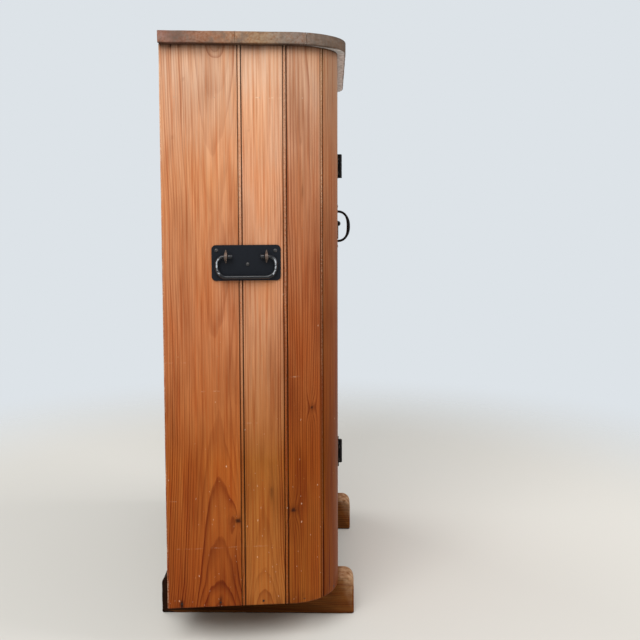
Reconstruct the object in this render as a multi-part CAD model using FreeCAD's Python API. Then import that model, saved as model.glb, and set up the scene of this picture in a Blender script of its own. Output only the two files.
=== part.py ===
import FreeCAD
import Part
import math
import os
from FreeCAD import Vector

# Pine warming cabinet on two runners, in millimetres.
# +Z is up, the door faces -Y, the open back faces +Y, origin under the middle of the runners.

# Body
BODY_WIDTH = 840.0
BODY_DEPTH = 362.0
BODY_HEIGHT = 1180.0
SIDE_TOE_IN = 5.5
CORNER_RADIUS = 107.0
BOARD_THICKNESS = 20.0
SIDE_JOINTS = (157.0, 249.5, 333.0)
JOINT_GAP = 0.8
TONGUE_THICKNESS = 6.0
TONGUE_LENGTH = 7.0
TONGUE_CLEARANCE = 0.3
BEAD_WIDTH = 8.0
BEAD_ROUND = 2.6
QUIRK_WIDTH = 2.0
QUIRK_DEPTH = 3.0

# Top
TOP_THICKNESS = 24.0
TOP_OVERHANG = 18.0
TOP_JOINTS = (155.0, 299.0)
TOP_GAP = 0.6

# Runners
RUNNER_WIDTH = 60.0
RUNNER_HEIGHT = 87.0
RUNNER_INSET = 149.0
RUNNER_NOSE = 37.0
RUNNER_TAIL = 45.0
RUNNER_NOSE_ROUND = 24.0
RUNNER_TAIL_ROUND = 18.0
RUNNER_FOOT_ROUND = 4.0

# Frame and inner work
FLOOR_THICKNESS = 22.0
FLOOR_JOINT = 190.0
CURVE_CLEARANCE = 0.3
POST_WIDTH = 58.0
POST_DEPTH = 40.0
RAIL_THICKNESS = 24.0
TOP_RAIL_HEIGHT = 64.0
BOTTOM_RAIL_HEIGHT = 70.0
BACK_POST_WIDTH = 30.0
BACK_POST_DEPTH = 40.0
BACK_RAIL_HEIGHT = 60.0
BACK_RAIL_THICKNESS = 26.0
SHEET_THICKNESS = 0.8
RIB_WIDTH = 30.0
RIB_HEIGHT = 24.0
RIB_COUNT = 4
FIRST_RIB_RISE = 251.0
LAST_RIB_DROP = 106.0

# Slatted shelves
SLAT_WIDTH = 24.0
SLAT_THICKNESS = 4.0
SLAT_PITCH = 38.0
SLAT_COUNT = 7
SLAT_FRONT_SETBACK = 58.0
SLAT_END_CLEARANCE = 3.0
STRAP_WIDTH = 20.0
STRAP_THICKNESS = 4.0
STRAP_OFFSET = 170.0

# Door
DOOR_GAP = 2.0
DOOR_BOARDS = 5
LEDGE_HEIGHT = 90.0
LEDGE_THICKNESS = 22.0
LEDGE_END_CLEARANCE = 11.0
LEDGE_END_DISTANCE = 120.0
DOOR_SHEET_MARGIN = 26.0
STOP_WIDTH = 14.0
STOP_DEPTH = 18.0
STOP_CLEARANCE = 0.3

# Hinges
LOWER_HINGE_RISE = 211.0
UPPER_HINGE_DROP = 174.0
HINGE_HEIGHT = 52.0
HINGE_LEAF_WIDTH = 31.0
HINGE_LEAF_THICKNESS = 2.5
HINGE_BARREL_RADIUS = 4.8
HINGE_BARREL_LIFT = 0.4
HINGE_PIN_RADIUS = 2.4
HINGE_PIN_HEAD = 1.6
HINGE_RUNNING_CLEARANCE = 0.05
HINGE_KNUCKLE_GAP = 0.4
HINGE_SCREW_SPACING = 30.0

# Screws and nails
SCREW_HEAD_RADIUS = 3.2
SCREW_HEAD_HEIGHT = 1.2
SCREW_SHANK_RADIUS = 1.6
SCREW_LENGTH = 16.0
SCREW_SLOT = 0.8
NAIL_HEAD_RADIUS = 3.0
NAIL_HEAD_HEIGHT = 1.0
NAIL_SHANK_RADIUS = 1.4
NAIL_LENGTH = 40.0
NAIL_BACK_DISTANCE = 30.0
NAIL_JOINT_DISTANCE = 45.0
FLOOR_NAIL_RISE = 9.0

# Pull handle on the door
PULL_EDGE_DISTANCE = 46.0
PULL_DROP = 323.0
PULL_SPACING = 82.0
PULL_PROJECTION = 36.5
PULL_ARM_RADIUS = 2.9
PULL_GRIP_RADIUS = 4.2
PULL_GRIP_LENGTH = 56.0
PULL_BEND_RADIUS = 10.0
PULL_PAD_RADIUS = 7.0
PULL_PAD_THICKNESS = 3.0
PULL_PAD_REACH = 14.0

# Turn button on the right front post
BUTTON_EDGE_DISTANCE = 22.0
BUTTON_DROP = 317.5
BUTTON_WIDTH = 16.0
BUTTON_REACH = 44.0
BUTTON_THICKNESS = 4.0
BUTTON_CLEARANCE = 0.3
BUTTON_SCREW_RADIUS = 2.4
BUTTON_RUNNING_CLEARANCE = 0.05
BUTTON_DOME_RADIUS = 7.0
BUTTON_DOME_HEIGHT = 6.0
BUTTON_SCREW_LENGTH = 24.0

# Lifting handles on the sides
PLATE_WIDTH = 143.0
PLATE_HEIGHT = 74.0
PLATE_THICKNESS = 2.5
PLATE_CORNER = 9.0
PLATE_CENTRE = 173.0
PLATE_RIB_DROP = 71.5
PLATE_NAILS = ((-61.5, 26.0), (60.0, 25.0), (3.0, -3.0), (-54.0, -26.0), (54.0, -26.0))
PLATE_NAIL_RADIUS = 4.2
PLATE_NAIL_HEIGHT = 2.2
PLATE_NAIL_SHANK = 2.0
PLATE_NAIL_LENGTH = 20.0
BAIL_AXIS_RISE = 13.3
BAIL_STANDOFF = 9.0
BAIL_RADIUS = 3.9
BAIL_WIDTH = 121.0
BAIL_DROP = 42.5
BAIL_SHOULDER_RADIUS = 14.5
BAIL_FOOT_RADIUS = 20.0
BAIL_KNOB_RADIUS = 4.9
BAIL_KNOB_LENGTH = 9.0
BAIL_KNOB_CLEARANCE = 1.0
EYE_SPACING = 84.0
EYE_THICKNESS = 6.5
EYE_RADIUS = 8.2
EYE_FLANGE_HEIGHT = 27.0
EYE_FLANGE_THICKNESS = 3.0
EYE_HOLE_CLEARANCE = 0.3
EYE_SHANK_RADIUS = 3.0
EYE_SHANK_LENGTH = 16.0

# Levels and planes that follow from the sizes above
BODY_BOTTOM = RUNNER_HEIGHT
BODY_TOP = BODY_BOTTOM + BODY_HEIGHT
FLOOR_TOP = BODY_BOTTOM + FLOOR_THICKNESS
RUNNER_LENGTH = BODY_DEPTH + RUNNER_NOSE + RUNNER_TAIL
FRONT = -RUNNER_LENGTH / 2 + RUNNER_NOSE
BACK = FRONT + BODY_DEPTH
HALF = BODY_WIDTH / 2
TOE_IN = math.radians(SIDE_TOE_IN)
SIDE_STRAIGHT = (BODY_DEPTH - CORNER_RADIUS * (1 - math.sin(TOE_IN))) / math.cos(TOE_IN)
CORNER_X = SIDE_STRAIGHT * math.sin(TOE_IN) + CORNER_RADIUS * math.cos(TOE_IN)
CORNER_Y = BODY_DEPTH - CORNER_RADIUS
SIDE_LENGTH = SIDE_STRAIGHT + CORNER_RADIUS * (math.pi / 2 - TOE_IN)
POST_OUTER = HALF - CORNER_X
POST_INNER = POST_OUTER - POST_WIDTH
INNER_FACE = BOARD_THICKNESS + CURVE_CLEARANCE
RIB_FACE = INNER_FACE + SHEET_THICKNESS + CURVE_CLEARANCE
DOOR_BOTTOM = BODY_BOTTOM + BOTTOM_RAIL_HEIGHT + DOOR_GAP
DOOR_TOP = BODY_TOP - TOP_RAIL_HEIGHT - DOOR_GAP
DOOR_HALF = POST_INNER - DOOR_GAP
LEDGE_HALF = POST_INNER - STOP_WIDTH - LEDGE_END_CLEARANCE
HINGE_X = -(POST_INNER + DOOR_HALF) / 2
HINGE_Y = FRONT - HINGE_BARREL_RADIUS - HINGE_BARREL_LIFT
HINGE_LEVELS = (DOOR_BOTTOM + LOWER_HINGE_RISE, DOOR_TOP - UPPER_HINGE_DROP)
PULL_X = DOOR_HALF - PULL_EDGE_DISTANCE
PULL_Z = DOOR_TOP - PULL_DROP
BUTTON_X = POST_INNER + BUTTON_EDGE_DISTANCE
BUTTON_Z = DOOR_TOP - BUTTON_DROP
FIRST_RIB = FLOOR_TOP + FIRST_RIB_RISE
RIB_PITCH = (BODY_TOP - LAST_RIB_DROP - FIRST_RIB) / (RIB_COUNT - 1)
RIB_LEVELS = tuple(FIRST_RIB + index * RIB_PITCH for index in range(RIB_COUNT))
SIDE_MARKS = (0.0,) + SIDE_JOINTS + (SIDE_LENGTH,)
BOARD_MIDDLES = tuple((first + last) / 2 for first, last in zip(SIDE_MARKS[1:], SIDE_MARKS[2:]))
NAIL_STATIONS = (NAIL_BACK_DISTANCE, SIDE_JOINTS[0] - NAIL_JOINT_DISTANCE) + BOARD_MIDDLES
PLATE_Z = RIB_LEVELS[-2] - PLATE_RIB_DROP
BAIL_OUT = PLATE_THICKNESS + BAIL_STANDOFF
BACK_POST_FACE = BOARD_THICKNESS + BACK_POST_WIDTH


def box(x0, x1, y0, y1, z0, z1):
    """Box between two corners."""
    return Part.makeBox(x1 - x0, y1 - y0, z1 - z0, Vector(x0, y0, z0))


def rod(start, direction, radius, length):
    """Cylinder from a start point along a direction."""
    return Part.makeCylinder(radius, length, start, direction)


def join(shapes):
    """One solid from shapes that meet."""
    return shapes[0].multiFuse(shapes[1:]).removeSplitter()


def mirrored(shape):
    """The same piece on the other side of the cabinet."""
    return shape.mirror(Vector(0, 0, 0), Vector(1, 0, 0))


def side_point(station, depth):
    """Plan point on the left side: station runs along the outer face from the back, depth runs inwards."""
    if station <= SIDE_STRAIGHT:
        across = station * math.sin(TOE_IN) + depth * math.cos(TOE_IN)
        ahead = station * math.cos(TOE_IN) - depth * math.sin(TOE_IN)
    elif station <= SIDE_LENGTH:
        angle = TOE_IN + (station - SIDE_STRAIGHT) / CORNER_RADIUS
        radius = CORNER_RADIUS - depth
        across = CORNER_X - radius * math.cos(angle)
        ahead = CORNER_Y + radius * math.sin(angle)
    else:
        across = CORNER_X + station - SIDE_LENGTH
        ahead = BODY_DEPTH - depth
    return Vector(-HALF + across, BACK - ahead, 0)


def side_inward(station):
    """Direction from the outer face into the cabinet at a station."""
    return (side_point(station, 1.0) - side_point(station, 0.0)).normalize()


def side_curve(start, end, depth):
    """Edges of the offset side curve from one station to another."""
    stations = [start] + [mark for mark in (SIDE_STRAIGHT, SIDE_LENGTH) if start < mark < end] + [end]
    edges = []
    for first, last in zip(stations, stations[1:]):
        near = side_point(first, depth)
        middle = side_point((first + last) / 2, depth)
        far = side_point(last, depth)
        if last <= SIDE_STRAIGHT or first >= SIDE_LENGTH:
            edges.append(Part.LineSegment(near, far).toShape())
        else:
            edges.append(Part.Arc(near, middle, far).toShape())
    return edges


def first_station(start, depth):
    """Station where a line at some depth begins, so that one that starts at the back ends square there."""
    return start if start > 0 else depth * math.tan(TOE_IN)


def side_strip(start, end, outer, inner, bottom, height):
    """Upright strip of the left side between two stations and two depths."""
    outer_start = first_station(start, outer)
    inner_start = first_station(start, inner)
    edges = side_curve(outer_start, end, outer)
    edges.append(Part.LineSegment(side_point(end, outer), side_point(end, inner)).toShape())
    edges += side_curve(inner_start, end, inner)
    near = side_point(inner_start, inner)
    edges.append(Part.LineSegment(near, side_point(outer_start, outer)).toShape())
    wire = Part.Wire(Part.__sortEdges__(edges))
    face = Part.Face(wire)
    face.translate(Vector(0, 0, bottom))
    return face.extrude(Vector(0, 0, height))


def door_strip(start, end, outer, inner, bottom, height):
    """Upright strip of the flat door between two stations from its hinge edge and two depths."""
    left = -DOOR_HALF
    return box(left + start, left + end, FRONT + outer, FRONT + inner, bottom, bottom + height)


def tongue(strip, edge, bottom, height):
    """Tongue that stands out backwards from an edge at a station."""
    middle = BOARD_THICKNESS / 2
    half = TONGUE_THICKNESS / 2
    return strip(edge - TONGUE_LENGTH, edge, middle - half, middle + half, bottom, height)


def groove(strip, end, bottom, height):
    """Groove that takes the next board's tongue, cut into the edge at a station."""
    middle = BOARD_THICKNESS / 2
    wide = TONGUE_THICKNESS / 2 + TONGUE_CLEARANCE
    start = end - TONGUE_LENGTH - TONGUE_CLEARANCE
    return strip(start, end, middle - wide, middle + wide, bottom, height)


def matched_board(strip, start, end, bottom, height, tongued, grooved):
    """Matched board: tongue and bead along its back edge, groove along its front edge."""
    edge = start + JOINT_GAP if tongued else start
    board = strip(edge, end, 0, BOARD_THICKNESS, bottom, height)
    if tongued:
        inner = edge + BEAD_WIDTH
        board = board.cut(strip(inner, inner + QUIRK_WIDTH, -QUIRK_WIDTH, QUIRK_DEPTH, bottom, height))
        board = round_bead(board, strip, edge, bottom, height)
        board = board.fuse(tongue(strip, edge, bottom, height))
    if grooved:
        board = board.cut(groove(strip, end, bottom, height))
    return board.removeSplitter()


def round_bead(board, strip, edge, bottom, height):
    """Round the two outer arrises of the bead."""
    thin = strip(edge, edge + BEAD_WIDTH, 0, 0.01, bottom, height)
    corners = [vertex.Point for vertex in thin.Vertexes if abs(vertex.Point.z - bottom) < 0.01]
    picked = []
    for item in board.Edges:
        if abs(item.Length - height) > 0.5 or not isinstance(item.Curve, Part.Line):
            continue
        low = min((vertex.Point for vertex in item.Vertexes), key=lambda point: point.z)
        if any((low - corner).Length < 0.005 for corner in corners):
            picked.append(item)
    return board.makeFillet(BEAD_ROUND, picked)


def body_plan(depth):
    """Flat face of the whole body in plan, taken a depth in from its outer face and square at the back."""
    first = first_station(0, depth)
    left = side_curve(first, SIDE_LENGTH, depth)
    start = side_point(first, depth)
    end = side_point(SIDE_LENGTH, depth)
    right = [mirrored(edge) for edge in left]
    front = Part.LineSegment(end, Vector(-end.x, end.y, 0)).toShape()
    back = Part.LineSegment(start, Vector(-start.x, start.y, 0)).toShape()
    wire = Part.Wire(Part.__sortEdges__(left + right + [front, back]))
    return Part.Face(wire)


def body_slab(depth, bottom, thickness):
    """Board in the shape of the body's plan."""
    face = body_plan(depth)
    face.translate(Vector(0, 0, bottom))
    return face.extrude(Vector(0, 0, thickness))


def fastener(point, inward, head_radius, head_height, shank_radius, length, proud):
    """Headed nail or screw: the head stands proud of the face by the given height."""
    top = point - inward * proud
    head = rod(top, inward, head_radius, head_height)
    shank = rod(top, inward, shank_radius, length + head_height)
    return head.fuse(shank).removeSplitter()


def domed_nail(point, inward, radius, height, shank_radius, length):
    """Nail with a domed head that sits on a face."""
    sphere_radius = (radius * radius + height * height) / (2 * height)
    ball = Part.makeSphere(sphere_radius, point + inward * (sphere_radius - height), inward)
    head = ball.common(rod(point - inward * height, inward, radius + 1, height))
    return head.fuse(rod(point, inward, shank_radius, length)).removeSplitter()


def slotted_screw(point, inward, slot_along):
    """Round-headed wood screw with a driver slot."""
    screw = fastener(point, inward, SCREW_HEAD_RADIUS, SCREW_HEAD_HEIGHT, SCREW_SHANK_RADIUS, SCREW_LENGTH,
                     SCREW_HEAD_HEIGHT)
    across = inward.cross(slot_along)
    size = SCREW_HEAD_RADIUS + 1
    corner = point - inward * (SCREW_HEAD_HEIGHT + 1)
    outline = []
    for along, sideways in ((-size, -1), (size, -1), (size, 1), (-size, 1), (-size, -1)):
        outline.append(corner + slot_along * along + across * (sideways * SCREW_SLOT / 2))
    slot = Part.Face(Part.makePolygon(outline)).extrude(inward * (1 + SCREW_HEAD_HEIGHT / 2))
    return screw.cut(slot)


def runner():
    """Left runner with its rounded toe and heel."""
    low, high = -RUNNER_LENGTH / 2, RUNNER_LENGTH / 2
    x0 = -HALF + RUNNER_INSET
    block = box(x0, x0 + RUNNER_WIDTH, low, high, 0, RUNNER_HEIGHT)
    rounds = ((low, RUNNER_HEIGHT, RUNNER_NOSE_ROUND), (high, RUNNER_HEIGHT, RUNNER_TAIL_ROUND),
              (low, 0.0, RUNNER_FOOT_ROUND), (high, 0.0, RUNNER_FOOT_ROUND))
    for y, z, radius in rounds:
        picked = []
        for edge in block.Edges:
            if all(abs(v.Point.y - y) < 0.01 and abs(v.Point.z - z) < 0.01 for v in edge.Vertexes):
                picked.append(edge)
        block = block.makeFillet(radius, picked)
    return block


def hinge_leaf(level, on_door):
    """Hinge leaf with its knuckles: the frame leaf has the outer two, the door leaf the middle one."""
    third = HINGE_HEIGHT / 3
    low = level - HINGE_HEIGHT / 2
    gap = HINGE_KNUCKLE_GAP / 2
    edge = DOOR_GAP / 2
    if on_door:
        spans = ((low + third + gap, low + 2 * third - gap),)
        cleared = ((low - 1, low + third + gap), (low + 2 * third - gap, low + HINGE_HEIGHT + 1))
        leaf = box(HINGE_X + edge, HINGE_X + HINGE_LEAF_WIDTH, FRONT - HINGE_LEAF_THICKNESS, FRONT,
                   low, low + HINGE_HEIGHT)
        bore = HINGE_PIN_RADIUS + HINGE_RUNNING_CLEARANCE
    else:
        spans = ((low, low + third - gap), (low + 2 * third + gap, low + HINGE_HEIGHT))
        cleared = ((low + third - gap, low + 2 * third + gap),)
        leaf = box(HINGE_X - HINGE_LEAF_WIDTH, HINGE_X - edge, FRONT - HINGE_LEAF_THICKNESS, FRONT,
                   low, low + HINGE_HEIGHT)
        bore = HINGE_PIN_RADIUS
    reach = HINGE_BARREL_RADIUS + HINGE_KNUCKLE_GAP
    for bottom, top in cleared:
        leaf = leaf.cut(box(HINGE_X - reach, HINGE_X + reach, FRONT - 3 * reach, FRONT + 1, bottom, top))
    axis = Vector(HINGE_X, HINGE_Y, 0)
    up = Vector(0, 0, 1)
    for bottom, top in spans:
        leaf = leaf.fuse(rod(axis + up * bottom, up, HINGE_BARREL_RADIUS, top - bottom))
    leaf = leaf.cut(rod(axis + up * (low - 1), up, bore, HINGE_HEIGHT + 2))
    return leaf.removeSplitter()


def hinge_pin(level):
    """Hinge pin with a low head above the top knuckle."""
    low = level - HINGE_HEIGHT / 2
    up = Vector(0, 0, 1)
    axis = Vector(HINGE_X, HINGE_Y, low)
    pin = rod(axis, up, HINGE_PIN_RADIUS, HINGE_HEIGHT)
    head = rod(axis + up * HINGE_HEIGHT, up, HINGE_BARREL_RADIUS - 0.6, HINGE_PIN_HEAD)
    return pin.fuse(head).removeSplitter()


def hinge_screws(sign):
    """Screws of both hinges on one side of the pin."""
    inward = Vector(0, 1, 0)
    x = HINGE_X + sign * (HINGE_LEAF_WIDTH + HINGE_BARREL_RADIUS) / 2
    screws = []
    for level in HINGE_LEVELS:
        for step in (-0.5, 0.5):
            point = Vector(x, FRONT - HINGE_LEAF_THICKNESS, level + step * HINGE_SCREW_SPACING)
            screws.append(slotted_screw(point, inward, Vector(0, 0, 1)))
    return screws


def swept_rod(edges, radius):
    """Round bar along a path of edges."""
    path = Part.Wire(Part.__sortEdges__(edges))
    first = path.OrderedEdges[0]
    start = path.OrderedVertexes[0].Point
    tangent = first.tangentAt(first.FirstParameter)
    circle = Part.Wire(Part.Circle(start, tangent, radius).toShape())
    return path.makePipeShell([circle], True, False)


def pull_handle():
    """Bow handle with a swollen grip and two screw pads."""
    reach = PULL_PROJECTION - PULL_GRIP_RADIUS
    half = PULL_SPACING / 2
    bend = PULL_BEND_RADIUS
    diagonal = bend * (1 - math.sqrt(0.5))
    out = FRONT - reach

    def at(y, z):
        return Vector(PULL_X, y, PULL_Z + z)
    edges = [
        Part.LineSegment(at(FRONT, half), at(out + bend, half)).toShape(),
        Part.Arc(at(out + bend, half), at(out + diagonal, half - diagonal), at(out, half - bend)).toShape(),
        Part.LineSegment(at(out, half - bend), at(out, bend - half)).toShape(),
        Part.Arc(at(out, bend - half), at(out + diagonal, diagonal - half), at(out + bend, -half)).toShape(),
        Part.LineSegment(at(out + bend, -half), at(FRONT, -half)).toShape(),
    ]
    bow = swept_rod(edges, PULL_ARM_RADIUS)
    ends = PULL_GRIP_LENGTH / 2
    swell = Part.Arc(Vector(PULL_ARM_RADIUS, 0, -ends), Vector(PULL_GRIP_RADIUS, 0, 0),
                     Vector(PULL_ARM_RADIUS, 0, ends)).toShape()
    outline = [swell,
               Part.LineSegment(Vector(PULL_ARM_RADIUS, 0, ends), Vector(0, 0, ends)).toShape(),
               Part.LineSegment(Vector(0, 0, ends), Vector(0, 0, -ends)).toShape(),
               Part.LineSegment(Vector(0, 0, -ends), Vector(PULL_ARM_RADIUS, 0, -ends)).toShape()]
    grip = Part.Face(Part.Wire(Part.__sortEdges__(outline))).revolve(Vector(0, 0, 0), Vector(0, 0, 1), 360)
    grip.translate(at(out, 0))
    pieces = [bow, grip]
    for sign in (-1, 1):
        centre = at(FRONT - PULL_PAD_THICKNESS, sign * half)
        tip = centre + Vector(0, 0, sign * PULL_PAD_REACH)
        low = min(centre.z, tip.z)
        pieces.append(rod(centre, Vector(0, 1, 0), PULL_PAD_RADIUS, PULL_PAD_THICKNESS))
        pieces.append(rod(tip, Vector(0, 1, 0), PULL_PAD_RADIUS, PULL_PAD_THICKNESS))
        pieces.append(box(PULL_X - PULL_PAD_RADIUS, PULL_X + PULL_PAD_RADIUS, FRONT - PULL_PAD_THICKNESS,
                          FRONT, low, low + PULL_PAD_REACH))
    return join(pieces)


def pull_screws():
    """Two screws that hold the pull handle to the door."""
    screws = []
    for sign in (-1, 1):
        z = PULL_Z + sign * (PULL_SPACING / 2 + PULL_PAD_REACH)
        point = Vector(PULL_X, FRONT - PULL_PAD_THICKNESS, z)
        screws.append(slotted_screw(point, Vector(0, 1, 0), Vector(1, 0, 0)))
    return screws


def turn_button():
    """Flat button that hangs from its screw and turns across the edge of the door."""
    radius = BUTTON_WIDTH / 2
    face = FRONT - BUTTON_CLEARANCE - BUTTON_THICKNESS
    inward = Vector(0, 1, 0)
    top = rod(Vector(BUTTON_X, face, BUTTON_Z), inward, radius, BUTTON_THICKNESS)
    tip = rod(Vector(BUTTON_X, face, BUTTON_Z - BUTTON_REACH + radius), inward, radius, BUTTON_THICKNESS)
    bar = box(BUTTON_X - radius, BUTTON_X + radius, face, face + BUTTON_THICKNESS,
              BUTTON_Z - BUTTON_REACH + radius, BUTTON_Z)
    hole = rod(Vector(BUTTON_X, face - 1, BUTTON_Z), inward, BUTTON_SCREW_RADIUS + BUTTON_RUNNING_CLEARANCE,
               BUTTON_THICKNESS + 2)
    return join([top, tip, bar]).cut(hole)


def button_screw():
    """Domed screw that the turn button swings on."""
    face = FRONT - BUTTON_THICKNESS - 2 * BUTTON_CLEARANCE
    return domed_nail(Vector(BUTTON_X, face, BUTTON_Z), Vector(0, 1, 0), BUTTON_DOME_RADIUS, BUTTON_DOME_HEIGHT,
                      BUTTON_SCREW_RADIUS, BUTTON_SCREW_LENGTH)


def on_side(shape):
    """Move a handle piece from its own frame, with the plate's back on X = 0, to the left side."""
    shape.rotate(Vector(0, 0, 0), Vector(0, 0, 1), SIDE_TOE_IN)
    shape.translate(side_point(PLATE_CENTRE, 0.0) + Vector(0, 0, PLATE_Z))
    return shape


def handle_plate():
    """Back plate of the left lifting handle."""
    plate = box(-PLATE_THICKNESS, 0, -PLATE_WIDTH / 2, PLATE_WIDTH / 2, -PLATE_HEIGHT / 2, PLATE_HEIGHT / 2)
    corners = [edge for edge in plate.Edges if abs(edge.Length - PLATE_THICKNESS) < 0.01]
    return on_side(plate.makeFillet(PLATE_CORNER, corners))


def handle_eyes():
    """Two eyes that carry the left bail, each with a shank through the plate into the board."""
    eyes = []
    face = -PLATE_THICKNESS
    level = BAIL_AXIS_RISE
    across = Vector(0, 1, 0)
    for sign in (-1, 1):
        y0 = sign * EYE_SPACING / 2 - EYE_THICKNESS / 2
        y1 = y0 + EYE_THICKNESS
        flange = box(face - EYE_FLANGE_THICKNESS, face, y0, y1, level - EYE_FLANGE_HEIGHT / 2,
                     level + EYE_FLANGE_HEIGHT / 2)
        stem = box(-BAIL_OUT, face, y0, y1, level - EYE_RADIUS, level + EYE_RADIUS)
        ring = rod(Vector(-BAIL_OUT, y0, level), across, EYE_RADIUS, EYE_THICKNESS)
        shank = rod(Vector(face, (y0 + y1) / 2, level), Vector(1, 0, 0), EYE_SHANK_RADIUS,
                    EYE_SHANK_LENGTH)
        hole = rod(Vector(-BAIL_OUT, y0 - 1, level), across, BAIL_RADIUS + EYE_HOLE_CLEARANCE,
                   EYE_THICKNESS + 2)
        eyes.append(on_side(join([flange, stem, ring, shank]).cut(hole)))
    return eyes


def handle_nails():
    """Domed nails through the left handle plate."""
    nails = []
    for ahead, up in PLATE_NAILS:
        station = PLATE_CENTRE + ahead
        point = side_point(station, -PLATE_THICKNESS) + Vector(0, 0, PLATE_Z + up)
        nails.append(domed_nail(point, side_inward(station), PLATE_NAIL_RADIUS, PLATE_NAIL_HEIGHT,
                                PLATE_NAIL_SHANK, PLATE_NAIL_LENGTH))
    return nails


def bail():
    """Left bail: a bent bar whose ends turn in through the eyes to small knobs."""
    half = BAIL_WIDTH / 2
    upper = BAIL_SHOULDER_RADIUS
    lower = BAIL_FOOT_RADIUS
    end = EYE_SPACING / 2 - EYE_THICKNESS / 2 - BAIL_KNOB_CLEARANCE

    def at(y, z):
        return Vector(-BAIL_OUT, y, BAIL_AXIS_RISE + z)
    edges = []
    for sign in (-1, 1):
        turn = sign * (half - upper)
        near = upper * math.sqrt(0.5)
        foot = sign * (half - lower)
        far = lower * math.sqrt(0.5)
        edges.append(Part.LineSegment(at(sign * end, 0), at(turn, 0)).toShape())
        edges.append(Part.Arc(at(turn, 0), at(turn + sign * near, near - upper),
                              at(sign * half, -upper)).toShape())
        edges.append(Part.LineSegment(at(sign * half, -upper), at(sign * half, lower - BAIL_DROP)).toShape())
        edges.append(Part.Arc(at(sign * half, lower - BAIL_DROP),
                              at(foot + sign * far, lower - BAIL_DROP - far), at(foot, -BAIL_DROP)).toShape())
    edges.append(Part.LineSegment(at(half - lower, -BAIL_DROP), at(lower - half, -BAIL_DROP)).toShape())
    pieces = [swept_rod(edges, BAIL_RADIUS)]
    for sign in (-1, 1):
        pieces.append(rod(at(sign * end, 0), Vector(0, -sign, 0), BAIL_KNOB_RADIUS, BAIL_KNOB_LENGTH))
    return on_side(join(pieces))


def shelf(level):
    """Slatted iron shelf: slats across the cabinet welded to two straps."""
    bottom = level + RIB_HEIGHT / 2
    start = FRONT + SLAT_FRONT_SETBACK
    pieces = []
    for index in range(SLAT_COUNT):
        y0 = start + index * SLAT_PITCH
        y1 = y0 + SLAT_WIDTH
        reach = HALF - slat_inset(y0) - SLAT_END_CLEARANCE
        pieces.append(box(-reach, reach, y0, y1, bottom, bottom + SLAT_THICKNESS))
    end = start + (SLAT_COUNT - 1) * SLAT_PITCH + SLAT_WIDTH
    for sign in (-1, 1):
        x = sign * STRAP_OFFSET
        pieces.append(box(x - STRAP_WIDTH / 2, x + STRAP_WIDTH / 2, start, end,
                          bottom - STRAP_THICKNESS, bottom))
    return join(pieces)


def slat_inset(y):
    """How far the lining lies in from the side at a given depth of the cabinet."""
    ahead = BACK - y
    limit = RIB_FACE
    station = 0.0
    while station < SIDE_LENGTH:
        point = side_point(station, limit)
        if BACK - point.y >= ahead:
            return point.x + HALF
        station += 1.0
    return CORNER_X


def board_nails():
    """Nails of the left side boards into the floor and the ribs."""
    nails = []
    levels = (BODY_BOTTOM + FLOOR_NAIL_RISE,) + RIB_LEVELS
    for level in levels:
        for station in NAIL_STATIONS:
            point = side_point(station, 0.0) + Vector(0, 0, level)
            nails.append(fastener(point, side_inward(station), NAIL_HEAD_RADIUS, NAIL_HEAD_HEIGHT,
                                  NAIL_SHANK_RADIUS, NAIL_LENGTH, 0.0))
    return nails


def without(shape, tools):
    """Cut a list of solids from a shape, using only those that reach it."""
    bounds = shape.BoundBox
    near = [tool for tool in tools if bounds.intersect(tool.BoundBox)]
    if not near:
        return shape
    return shape.cut(near)


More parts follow.
